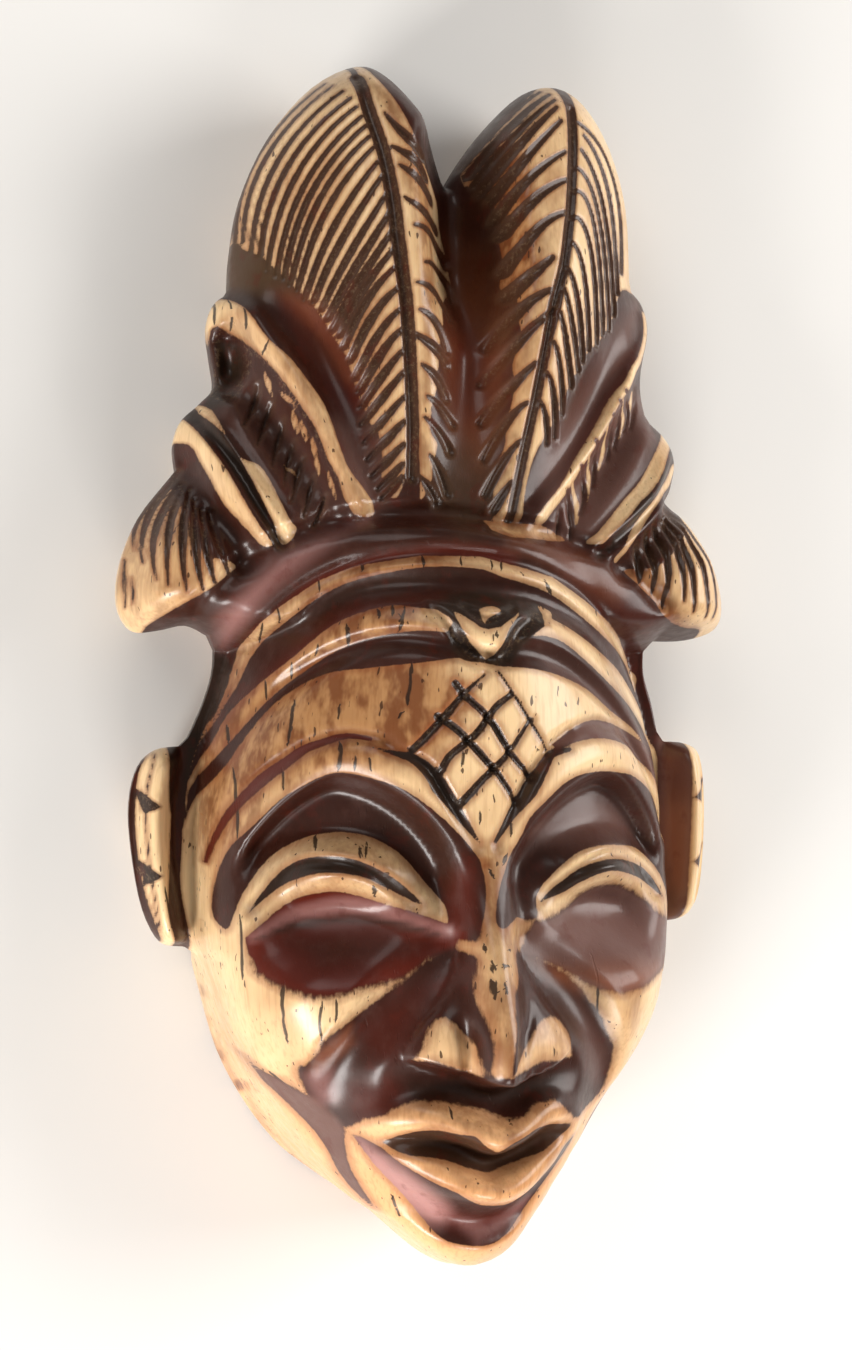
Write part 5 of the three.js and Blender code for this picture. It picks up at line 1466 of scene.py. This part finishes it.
@dataclass
class Carving:
    """The mask itself: one closed skin over a fine grid of the plan.

    cell is the grid's pitch and edge_reach how far in the grid is drawn towards the outline,
    so that the steep sides get as many rows as the flat top. Plain parts of the front and the
    back are made of tiles, front_block or back_block cells wide. Cells stay single within
    ring of the outline, and on the front also in cuts deeper than cut_floor and within
    detail_reach of the stain's edge. run is how many pieces of the outline are tried at once,
    and depth_reach how far from it depths are measured. On the back the stain is at most
    back_stain deep and loses back_fade a millimetre from back_start in, and the glaze rises
    to back_glaze over the depths back_wash.
    """

    cell: float = 0.21
    edge_reach: float = 2.0
    left: float = -30.2
    right: float = 30.2
    low: float = -54.0
    high: float = 56.4
    depth_reach: float = 6.0
    run: int = 16
    front_block: int = 2
    back_block: int = 4
    cut_floor: float = 0.01
    detail_reach: float = 0.4
    ring: float = 0.8
    back_fade: float = 0.9
    back_start: float = 1.0
    back_stain: float = 0.8
    back_wash: tuple = (1.0, 6.0)
    back_glaze: float = 0.5
    form: MaskForm = field(default_factory=MaskForm)
    hair: HairCutting = field(default_factory=lambda: HairCutting(BARBS))
    stain: StainField = field(default_factory=StainField)

    def plan(self) -> tuple[Sheet, Array, tuple[int, int]]:
        """Grid places with their depth inside the outline; near places are set on it.

        Returns:
            The places, their signed depth and the grid's rows and columns.
        """
        xs = np.arange(self.left, self.right, self.cell)
        ys = np.arange(self.low, self.high, self.cell)
        grid_x, grid_y = np.meshgrid(xs, ys)
        sheet = Sheet(grid_x.ravel(), grid_y.ravel())
        depth = np.full(sheet.x.shape, self.depth_reach)
        foot_x, foot_y = sheet.x.copy(), sheet.y.copy()
        closed = np.vstack([self.form.outline, self.form.outline[:1]])
        for first in range(0, len(closed) - 1, self.run):
            spot = sheet.near(closed[first:first + self.run + 1], self.depth_reach)
            closer = spot.distance < depth[spot.hit]
            hit = spot.hit[closer]
            depth[hit] = spot.distance[closer]
            foot_x[hit] = spot.foot_x[closer]
            foot_y[hit] = spot.foot_y[closer]
        inside = sheet.inside(self.form.outline)
        signed = np.where(inside, depth, -depth)
        on_line = depth < 0.5 * self.cell
        signed[on_line] = 0
        pull = self.drawn(np.maximum(signed, 0))
        near = (signed >= 0) & (signed < self.edge_reach)
        length = np.maximum(depth, TINY)
        for place, foot in ((sheet.x, foot_x), (sheet.y, foot_y)):
            moved = foot + (place - foot) * (pull / length)
            place[near] = np.where(on_line, foot, moved)[near]
        signed = np.where(near, pull, signed)
        return sheet, signed, grid_x.shape

    def drawn(self, depth: Array) -> Array:
        """Depth after the draw: edge_reach times one less the cosine of a quarter turn."""
        turn = np.minimum(depth / self.edge_reach, 1) * math.pi / 2
        return np.where(depth < self.edge_reach, self.edge_reach * (1 - np.cos(turn)), depth)

    def faces(self, signed: Array, shape: tuple[int, int], keep: Array, block: int) -> list:
        """Triangles and quads of the grid, with plain blocks of cells made single tiles.

        Args:
            signed: depth of each place inside the outline.
            shape: rows and columns of the grid.
            keep: places round which the cells stay single.
            block: cells along the side of a tile.

        Returns:
            Arrays of faces, one row of corner indices for each face.
        """
        index = np.arange(signed.size).reshape(shape)
        corners = np.stack([index[:-1, :-1], index[:-1, 1:], index[1:, 1:], index[1:, :-1]])
        within = signed[corners] >= 0
        count = within.sum(0)
        solid = np.where(within, signed[corners], 0).sum(0) > 0
        full = (count == 4) & solid
        fine = full & keep[corners].any(0)
        rows, columns = (full.shape[0] // block) * block, (full.shape[1] // block) * block
        blocks = (full & ~fine)[:rows, :columns].reshape(rows // block, block,
                                                         columns // block, block)
        plain = blocks.all((1, 3))
        covered = np.zeros(full.shape, bool)
        covered[:rows, :columns] = np.kron(plain, np.ones((block, block), bool)).astype(bool)
        quads = corners[:, full & ~covered].T
        three = (count == 3) & solid
        picked, kept = corners[:, three].T, within[:, three].T
        triangles = picked[kept].reshape(-1, 3)
        return [triangles, quads, *self.tiles(index, plain, block)]

    def tiles(self, index: Array, plain: Array, block: int) -> list:
        """Tiles of the plain blocks, with the in-between places on sides that need them."""
        padded = np.pad(plain, 1)
        rows, columns = np.nonzero(plain)
        beside = [padded[rows, columns + 1], padded[rows + 1, columns + 2],
                  padded[rows + 2, columns + 1], padded[rows + 1, columns]]
        code = sum((~side).astype(int) << k for k, side in enumerate(beside))
        row, column = rows * block, columns * block
        walks = [(0, 0, 0, 1), (0, block, 1, 0), (block, block, 0, -1), (block, 0, -1, 0)]
        result = []
        for kind in range(2 ** len(walks)):
            chosen = code == kind
            if not chosen.any():
                continue
            ring = []
            for k, (down, over, step_down, step_over) in enumerate(walks):
                stops = range(block) if kind >> k & 1 else range(1)
                ring += [(down + step_down * n, over + step_over * n) for n in stops]
            result.append(np.stack([index[row[chosen] + down, column[chosen] + over]
                                    for down, over in ring], axis=1))
        return result

    def rim_walls(self, groups: list, offset: int) -> Array:
        """Quads that join front and back along each edge that only one face uses."""
        edges = np.vstack([np.stack([g, np.roll(g, -1, axis=1)], axis=2).reshape(-1, 2)
                           for g in groups])
        ordered = np.sort(edges, axis=1)
        key = ordered[:, 0].astype(np.int64) * (offset + 1) + ordered[:, 1]
        _, first, uses = np.unique(key, return_index=True, return_counts=True)
        a, b = edges[first[uses == 1]].T
        return np.stack([b, a, a + offset, b + offset], axis=1)

    def skin(self, signed: Array, shape: tuple[int, int], busy: Array) -> list[Array]:
        """Faces of the front, of the back and of the narrow wall between them.

        Args:
            signed: depth of each place inside the outline.
            shape: rows and columns of the grid.
            busy: places of fine detail on the front.

        Returns:
            Arrays of faces; the places of the back are counted on from those of the front.
        """
        count = signed.size
        ring = np.maximum(signed, 0) < self.ring
        front = self.faces(signed, shape, busy | ring, self.front_block)
        back = self.faces(signed, shape, ring, self.back_block)
        single = self.faces(signed, shape, np.ones(count, bool), self.front_block)
        turned = [group[:, ::-1] + count for group in back]
        return [*front, *turned, self.rim_walls(single[:2], count)]

    def build(self) -> bpy.types.Object:
        """Make the mask, with its carving, and keep its stain on the mesh.

        Returns:
            The mask as a new object, with its place in its mesh.
        """
        sheet, signed, shape = self.plan()
        inner = np.maximum(signed, 0)
        fine = self.form.carve(sheet, FINE_CUTS) + self.hair.relief(sheet)
        heights = np.concatenate([self.form.front(sheet, inner, fine),
                                  self.form.back(sheet, inner)])
        stain = self.stain.evaluate(sheet, self.hair)
        busy = (np.abs(fine) > self.cut_floor) | (np.abs(stain.depth) < self.detail_reach)
        groups = self.skin(signed, shape, busy)
        used = np.unique(np.concatenate([group.ravel() for group in groups]))
        renumber = np.full(len(heights), -1)
        renumber[used] = np.arange(len(used))
        places = np.stack([np.tile(sheet.x, 2) - CENTRE_X, np.tile(sheet.y, 2) - CENTRE_Y,
                           heights], axis=1)[used] * MM
        faces = [row for group in groups for row in renumber[group].tolist()]
        mesh = bpy.data.meshes.new("mask_skin")
        mesh.from_pydata(places, [], faces)
        mesh.polygons.foreach_set("use_smooth", np.ones(len(mesh.polygons), bool))
        self.paint(mesh, sheet, inner, fine, stain, used)
        mesh.validate()
        piece = bpy.data.objects.new("carved_mask", mesh)
        bpy.context.scene.collection.objects.link(piece)
        return piece

    def paint(self, mesh: bpy.types.Mesh, sheet: Sheet, inner: Array, fine: Array,
              stain: StainMap, used: Array) -> None:
        """Write the stain, the glaze with its painted shade, the cracks and the depth of the cuts
        on the mesh.

        Args:
            mesh: the skin.
            sheet: the plan places.
            inner: depth of each place inside the outline.
            fine: height of the fine cuts.
            stain: the stain at every place.
            used: places that the skin uses, front first.
        """
        fade = self.back_fade * np.maximum(inner - self.back_start, 0)
        behind = np.maximum(np.minimum(stain.depth, self.back_stain) - fade, -self.stain.reach)
        nearest, sided = self.stain.cracks(sheet)
        far = np.ones(inner.shape)
        layers = {
            "stain": (stain.depth, behind),
            "ragged": (stain.ragged, stain.ragged),
            "glaze_and_shade": (self.stain.glaze_and_shade(sheet), step(*self.back_wash, inner) * self.back_glaze),
            "crack": (nearest, far),
            "crack_side": (sided, far),
            "cut": (np.maximum(-fine, 0), np.zeros(inner.shape)),
        }
        for name, (front, back) in layers.items():
            values = np.concatenate([front, back])[used].astype(np.float32)
            layer = mesh.attributes.new(name, "FLOAT", "POINT")
            layer.data.foreach_set("value", values)
        colours = mesh.attributes.new("tone", "FLOAT_COLOR", "POINT")
        colours.data.foreach_set("color", np.tile(stain.tone, (2, 1))[used].ravel())


@dataclass(frozen=True)
class Pattern:
    """A cloudy noise: waves per millimetre in each direction, its detail and its roughness."""

    pitch: tuple[float, float, float]
    detail: float = 2.0
    roughness: float = 0.5


@dataclass
class NodeBench:
    """Adds and joins shader nodes, and gives their output sockets."""

    material: bpy.types.Material

    def __post_init__(self) -> None:
        """Set up the object coordinates, in millimetres."""
        scale = self.add("ShaderNodeVectorMath", operation="SCALE")
        self.join(self.add("ShaderNodeTexCoord").outputs["Object"], scale.inputs[0])
        self.join(1 / MM, scale.inputs["Scale"])
        self.places = scale.outputs[0]

    def add(self, kind: str, **settings: object) -> bpy.types.Node:
        """Add a node and set its plain properties."""
        node = self.material.node_tree.nodes.new(kind)
        for name, value in settings.items():
            setattr(node, name, value)
        return node

    def join(self, source: Input, target: Socket) -> None:
        """Link a socket, or set a plain value."""
        if isinstance(source, Socket):
            self.material.node_tree.links.new(source, target)
        else:
            target.default_value = source

    def math(self, operation: str, first: Input, second: Input = 0.0,
             clamp: bool = False) -> Socket:
        """Result of one operation on one or two numbers."""
        node = self.add("ShaderNodeMath", operation=operation, use_clamp=clamp)
        self.join(first, node.inputs[0])
        self.join(second, node.inputs[1])
        return node.outputs[0]

    def add_up(self, first: Input, second: Input) -> Socket:
        """Sum of two numbers."""
        return self.math("ADD", first, second)

    def times(self, first: Input, second: Input) -> Socket:
        """Product of two numbers."""
        return self.math("MULTIPLY", first, second)

    def swing(self, noise: Socket, reach: Input) -> Socket:
        """A noise moved to lie round 0 and made reach wide."""
        return self.times(self.math("SUBTRACT", noise, 0.5), reach)

    def ramp(self, value: Socket, low: Input, high: Input, to_low: float = 0.0,
             to_high: float = 1.0) -> Socket:
        """Smooth rise from to_low at low to to_high at high."""
        node = self.add("ShaderNodeMapRange", interpolation_type="SMOOTHSTEP")
        for socket, number in zip(node.inputs, (value, low, high, to_low, to_high)):
            self.join(number, socket)
        return node.outputs[0]

    def between(self, share: Socket, ends: tuple[float, float]) -> Socket:
        """Smooth way from the first end to the second as the share goes from 0 to 1."""
        return self.ramp(share, 0.0, 1.0, *ends)

    def blend(self, share: Socket, first: Input, second: Input, kind: str = "MIX") -> Socket:
        """Mix of two colours, whose sockets on the node are 6 and 7, and 2 for the result."""
        node = self.add("ShaderNodeMix", data_type="RGBA", blend_type=kind)
        for place, source in ((0, share), (6, first), (7, second)):
            self.join(source, node.inputs[place])
        return node.outputs[2]

    def attribute(self, name: str, kind: str = "Fac") -> Socket:
        """A number, or with kind Color a colour, kept on the mesh."""
        return self.add("ShaderNodeAttribute", attribute_name=name).outputs[kind]

    def noise(self, pattern: Pattern) -> Socket:
        """Noise over the object coordinates."""
        scaled = self.add("ShaderNodeVectorMath", operation="MULTIPLY")
        self.join(self.places, scaled.inputs[0])
        self.join(pattern.pitch, scaled.inputs[1])
        node = self.add("ShaderNodeTexNoise")
        self.join(1.0, node.inputs["Scale"])
        self.join(pattern.detail, node.inputs["Detail"])
        self.join(pattern.roughness, node.inputs["Roughness"])
        self.join(scaled.outputs[0], node.inputs["Vector"])
        return node.outputs["Fac"]


@dataclass(frozen=True)
class StainedBone:
    """Polished bone under a dark stain that has been rubbed off its ridges.

    A ramp gives where an effect starts and where it is whole, and after that its strengths
    there if they aren't 0 and 1. A reach or a start is given for a crisp and for a ragged edge
    of the stain, the halo's for the hair and for the face, and a roughness or a grain for bare
    bone and for stain. Lengths are in millimetres, but depth_of_light is in metres, and
    glow_reach is how far red, green and blue light spread against it.
    """

    cream: tuple = linear(228, 196, 150)
    # honey is a tone of the bone and the colour of the glaze, which over the upper left face is
    # painted shade as well
    honey: tuple = linear(160, 108, 60)
    orange: tuple = linear(222, 160, 106)
    glaze: tuple = linear(104, 54, 26)
    halo: tuple = linear(122, 62, 30)
    pore: tuple = linear(58, 34, 20)
    crack: tuple = linear(34, 24, 18)
    dust: tuple = linear(140, 114, 86)
    wander: Pattern = Pattern((1.9, 1.5, 1.9), 4.0, 0.6)
    fibre: Pattern = Pattern((2.2, 0.3, 2.2), 4.0, 0.65)
    cloud: Pattern = Pattern((0.16, 0.1, 0.16), 3.0)
    strand: Pattern = Pattern((3.2, 0.22, 3.2), 3.0)
    smear: Pattern = Pattern((0.5, 0.26, 0.5), 3.0, 0.6)
    fleck: Pattern = Pattern((2.4, 0.75, 2.4), 1.0)
    crowd: Pattern = Pattern((0.14, 0.14, 0.14), 1.0)
    mottle: Pattern = Pattern((0.45, 0.35, 0.45), 4.0, 0.6)
    speck: Pattern = Pattern((2.6, 2.6, 2.6), 4.0, 0.7)
    worn: Pattern = Pattern((0.8, 0.8, 0.8), 3.0)
    grain: Pattern = Pattern((7.0, 1.6, 7.0), 3.0)
    wave: Pattern = Pattern((0.5, 0.35, 0.5))
    wander_reach: tuple = (0.16, 0.9)
    fibre_reach: tuple = (0.08, 0.9)
    edge_start: tuple = (-0.05, -0.6)
    edge_end: float = 0.07
    face_top: tuple = (14.0, 10.0)
    face_side: tuple = (21.5, 20.0)
    halo_reach: tuple = (-0.28, -0.7)
    halo_strength: float = 0.55
    cloud_ramp: tuple = (0.38, 0.7, 0.0, 0.45)
    glaze_and_shade_strength: float = 0.9
    chin_ramp: tuple = (-22.0, -50.0, 0.0, 0.8)
    strand_ramp: tuple = (0.45, 0.7, 0.0, 0.2)
    rim_ramp: tuple = (7.0, 0.0, 0.0, 0.5)
    smear_ramp: tuple = (0.38, 0.62)
    crowd_ramp: tuple = (0.4, 0.6, 0.0, 0.05)
    pore_ramp: tuple = (0.735, 0.77, 0.0, 0.85)
    crack_past: float = 0.14
    crack_wander: float = 0.2
    crack_ramp: tuple = (0.13, 0.05)
    crack_strength: float = 0.9
    plum_ramp: tuple = (0.5, 0.8, 0.0, 0.22)
    red_ramp: tuple = (0.45, 0.3, 0.0, 0.35)
    speck_ramp: tuple = (0.48, 0.68)
    shallow_ramp: tuple = (0.1, 0.4)
    deep_ramp: tuple = (1.4, 0.8)
    dust_strength: float = 0.3
    roughness: tuple = (0.33, 0.45)
    worn_ramp: tuple = (0.3, 0.7, -0.05, 0.09)
    grain_height: tuple = (0.012, 0.02)
    wave_height: float = 0.1
    crack_depth: float = 0.05
    pore_depth: float = 0.03
    relief: float = 0.8
    shine: float = 0.14
    warm_shine: tuple = (1.0, 0.88, 0.82, 1.0)
    coat: float = 0.4
    coat_roughness: float = 0.24
    glow: float = 0.12
    glow_reach: tuple = (1.0, 0.45, 0.2)
    depth_of_light: float = 0.0012

    def edge(self, bench: NodeBench, fibre: Socket, ragged: Socket) -> tuple[Socket, Socket]:
        """Let the edge of the stain wander, more so where it is ragged.

        Args:
            bench: where the nodes go.
            fibre: the pattern of strands along the grain.
            ragged: how ragged the edge is.

        Returns:
            Sockets of the depth into the stain and of the share of stain.
        """
        wander = bench.swing(bench.noise(self.wander), bench.between(ragged, self.wander_reach))
        fibres = bench.swing(fibre, bench.between(ragged, self.fibre_reach))
        depth = bench.add_up(bench.attribute("stain"), bench.add_up(wander, fibres))
        return depth, bench.ramp(depth, bench.between(ragged, self.edge_start), self.edge_end)

    def halo_share(self, bench: NodeBench, x: Socket, y: Socket, depth: Socket,
                   ragged: Socket) -> Socket:
        """Share of the brown halo along the stain, wider on the face than on the hair."""
        face = bench.times(bench.ramp(y, *self.face_top),
                           bench.ramp(bench.math("ABSOLUTE", x), *self.face_side))
        start = bench.math("SUBTRACT", bench.between(face, self.halo_reach), ragged)
        return bench.times(bench.ramp(depth, start, 0.0), self.halo_strength)

    def bone(self, bench: NodeBench, depth: Socket, ragged: Socket) -> Socket:
        """Colour of the bare bone, its glaze darkened further by painted shade over the upper
        left face, without its pores and cracks.

        Args:
            bench: where the nodes go.
            depth: depth into the stain.
            ragged: how ragged the stain's edge is.

        Returns:
            Socket of the colour.
        """
        axes = bench.add("ShaderNodeSeparateXYZ")
        bench.join(bench.places, axes.inputs[0])
        x, y, z = axes.outputs
        cloud = bench.ramp(bench.noise(self.cloud), *self.cloud_ramp)
        bone = bench.blend(cloud, self.cream, self.honey)
        glaze_and_shade = bench.attribute("glaze_and_shade")
        # painted shade in part: the glaze darkens the upper left face as a whole
        glaze_and_shade_share = bench.math("MULTIPLY", glaze_and_shade, self.glaze_and_shade_strength, clamp=True)
        bone = bench.blend(glaze_and_shade_share, bone, self.honey)
        bone = bench.blend(bench.ramp(y, *self.chin_ramp), bone, self.orange)
        strands = bench.ramp(bench.noise(self.strand), *self.strand_ramp)
        bone = bench.blend(strands, bone, self.honey, "MULTIPLY")
        # smear of the glaze, with its painted shade, and of a brown that grows lower down towards
        # the table
        glaze_and_shade_smear = bench.times(bench.math("MAXIMUM", glaze_and_shade, bench.ramp(z, *self.rim_ramp)),
                             bench.ramp(bench.noise(self.smear), *self.smear_ramp))
        bone = bench.blend(glaze_and_shade_smear, bone, self.glaze)
        return bench.blend(self.halo_share(bench, x, y, depth, ragged), bone, self.halo)

    def pores(self, bench: NodeBench) -> Socket:
        """Share of open pores: flecks along the grain, more of them in some places."""
        crowd = bench.ramp(bench.noise(self.crowd), *self.crowd_ramp)
        return bench.ramp(bench.add_up(bench.noise(self.fleck), crowd), *self.pore_ramp)

    def cracks(self, bench: NodeBench, fibre: Socket) -> Socket:
        """Share of the age cracks: near a crack's line, and not far past its ends."""
        beside = bench.math("ABSOLUTE", bench.attribute("crack_side"))
        past = bench.math("SUBTRACT", bench.attribute("crack"), self.crack_past)
        line = bench.add_up(bench.math("MAXIMUM", beside, past),
                            bench.swing(fibre, self.crack_wander))
        return bench.ramp(line, *self.crack_ramp)

    def stain(self, bench: NodeBench) -> Socket:
        """Colour of the stain: its tone with the painted sheen that the tints lay on, mottled,
        with dust in cuts of middling depth.
        """
        mottle = bench.noise(self.mottle)
        dark = bench.blend(bench.ramp(mottle, *self.plum_ramp), bench.attribute("tone", "Color"),
                           Tone.PLUM.value)
        dark = bench.blend(bench.ramp(mottle, *self.red_ramp), dark, Tone.RED.value)
        cut = bench.attribute("cut")
        dusty = bench.times(bench.ramp(bench.noise(self.speck), *self.speck_ramp),
                            bench.ramp(cut, *self.shallow_ramp))
        dusty = bench.times(dusty, bench.ramp(cut, *self.deep_ramp))
        return bench.blend(bench.times(dusty, self.dust_strength), dark, self.dust)

    def height(self, bench: NodeBench, stained: Socket, cracked: Socket,
               pores: Socket) -> Socket:
        """Height of the grain and of the hand's waves, less the cracks and the pores."""
        grain = bench.times(bench.noise(self.grain), bench.between(stained, self.grain_height))
        raised = bench.add_up(grain, bench.times(bench.noise(self.wave), self.wave_height))
        sunk = bench.add_up(bench.times(cracked, self.crack_depth),
                            bench.times(pores, self.pore_depth))
        return bench.math("SUBTRACT", raised, sunk)

    def make(self, name: str) -> bpy.types.Material:
        """Build the finish.

        Args:
            name: name of the material.

        Returns:
            The finished material.
        """
        material = bpy.data.materials.new(name)
        material.use_nodes = True
        bench = NodeBench(material)
        fibre, ragged = bench.noise(self.fibre), bench.attribute("ragged")
        depth, stained = self.edge(bench, fibre, ragged)
        pores, cracked = self.pores(bench), self.cracks(bench, fibre)
        bone = bench.blend(pores, self.bone(bench, depth, ragged), self.pore)
        bone = bench.blend(bench.times(cracked, self.crack_strength), bone, self.crack)
        worn = bench.ramp(bench.noise(self.worn), *self.worn_ramp)
        bump = bench.add("ShaderNodeBump")
        bench.join(self.relief, bump.inputs["Strength"])
        bench.join(MM, bump.inputs["Distance"])
        bench.join(self.height(bench, stained, cracked, pores), bump.inputs["Height"])
        settings = {
            "Base Color": bench.blend(stained, bone, self.stain(bench)),
            "Roughness": bench.add_up(bench.between(stained, self.roughness), worn),
            "Normal": bump.outputs[0],
            "Specular IOR Level": self.shine,
            "Specular Tint": self.warm_shine,
            "Coat Weight": self.coat,
            "Coat Roughness": self.coat_roughness,
            "Subsurface Weight": self.glow,
            "Subsurface Radius": self.glow_reach,
            "Subsurface Scale": self.depth_of_light,
        }
        shader = material.node_tree.nodes["Principled BSDF"]
        for socket, value in settings.items():
            bench.join(value, shader.inputs[socket])
        return material


@dataclass(frozen=True)
class SoftLight:
    """A square lamp that faces the mask."""

    name: str
    place: tuple[float, float, float]
    size: float
    power: float
    colour: tuple[float, float, float]

    def hang(self) -> None:
        """Put the lamp in the scene, turned to the middle of the mask."""
        lamp = bpy.data.lights.new(self.name, "AREA")
        lamp.size = self.size
        lamp.energy = self.power
        lamp.color = self.colour
        holder = bpy.data.objects.new(self.name, lamp)
        holder.location = self.place
        holder.rotation_euler = Vector(self.place).to_track_quat("Z", "Y").to_euler()
        bpy.context.scene.collection.objects.link(holder)


@dataclass
class Studio:
    """Pale table, window light from below and from the right, and the photograph's camera.

    The camera stands to the left of the mask, tilt degrees off straight above.
    """

    floor_half: float = 0.6
    floor_drop: float = 0.00005
    floor_colour: tuple = linear(226, 225, 222)
    floor_roughness: float = 0.55
    world_colour: tuple = (1.0, 0.93, 0.88, 1.0)
    world_strength: float = 0.2
    camera_place: tuple = (-0.04459, -0.0011, 0.17340)
    tilt: float = 15.0
    image_height: float = 1350.0
    focal_pixels: float = 1850.0
    sensor: float = 36.0
    nearest: float = 0.005
    lights: tuple = (
        SoftLight("window_right", (0.36, 0.06, 0.20), 0.26, 1.9, (1.0, 0.98, 0.96)),
        SoftLight("window_below", (0.02, -0.44, 0.20), 0.16, 1.2, (1.0, 0.98, 0.96)),
        SoftLight("window_left", (-0.34, -0.28, 0.18), 0.16, 2.5, (1.0, 0.98, 0.96)),
        SoftLight("wall_above", (-0.3, 0.4, 0.4), 0.3, 0.8, (1.0, 0.97, 0.95)),
    )

    def table(self) -> bpy.types.Object:
        """The plain table top, just under the mask."""
        half, down = self.floor_half, -self.floor_drop
        mesh = bpy.data.meshes.new("table_top")
        mesh.from_pydata([(-half, -half, down), (half, -half, down), (half, half, down),
                          (-half, half, down)], [], [(0, 1, 2, 3)])
        material = bpy.data.materials.new("pale_table")
        material.use_nodes = True
        shader = material.node_tree.nodes["Principled BSDF"]
        shader.inputs["Base Color"].default_value = self.floor_colour
        shader.inputs["Roughness"].default_value = self.floor_roughness
        mesh.materials.append(material)
        top = bpy.data.objects.new("table_top", mesh)
        bpy.context.scene.collection.objects.link(top)
        return top

    def camera(self) -> bpy.types.Object:
        """Camera that looks down along a line tilted to the right, with +Y upwards."""
        turn = math.radians(self.tilt)
        right = Vector((math.cos(turn), 0, math.sin(turn)))
        up = Vector((0, 1, 0))
        back = Vector((-math.sin(turn), 0, math.cos(turn)))
        lens = bpy.data.cameras.new("camera")
        lens.sensor_fit = "VERTICAL"
        lens.sensor_height = self.sensor
        lens.lens = self.focal_pixels * self.sensor / self.image_height
        lens.clip_start = self.nearest
        holder = bpy.data.objects.new("camera", lens)
        turned = Matrix((right, up, back)).transposed().to_4x4()
        holder.matrix_world = Matrix.Translation(self.camera_place) @ turned
        bpy.context.scene.collection.objects.link(holder)
        return holder

    def build(self) -> None:
        """Set up the table, the lights, the sky and the camera."""
        self.table()
        for light in self.lights:
            light.hang()
        world = bpy.data.worlds.new("pale_room")
        world.use_nodes = True
        sky = world.node_tree.nodes["Background"]
        sky.inputs["Color"].default_value = self.world_colour
        sky.inputs["Strength"].default_value = self.world_strength
        scene = bpy.context.scene
        scene.world = world
        scene.view_settings.view_transform = "Standard"
        scene.camera = self.camera()


def main() -> None:
    """Build the mask, dress it and set up the studio."""
    logging.basicConfig(level=logging.INFO, format="%(message)s")
    piece = Carving().build()
    piece.data.materials.append(StainedBone().make("stained_bone"))
    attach(piece, "root")
    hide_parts("mask")
    LOG.info("%s: %d faces", piece.name, len(piece.data.polygons))
    Studio().build()


if __name__ == "__main__":
    main()
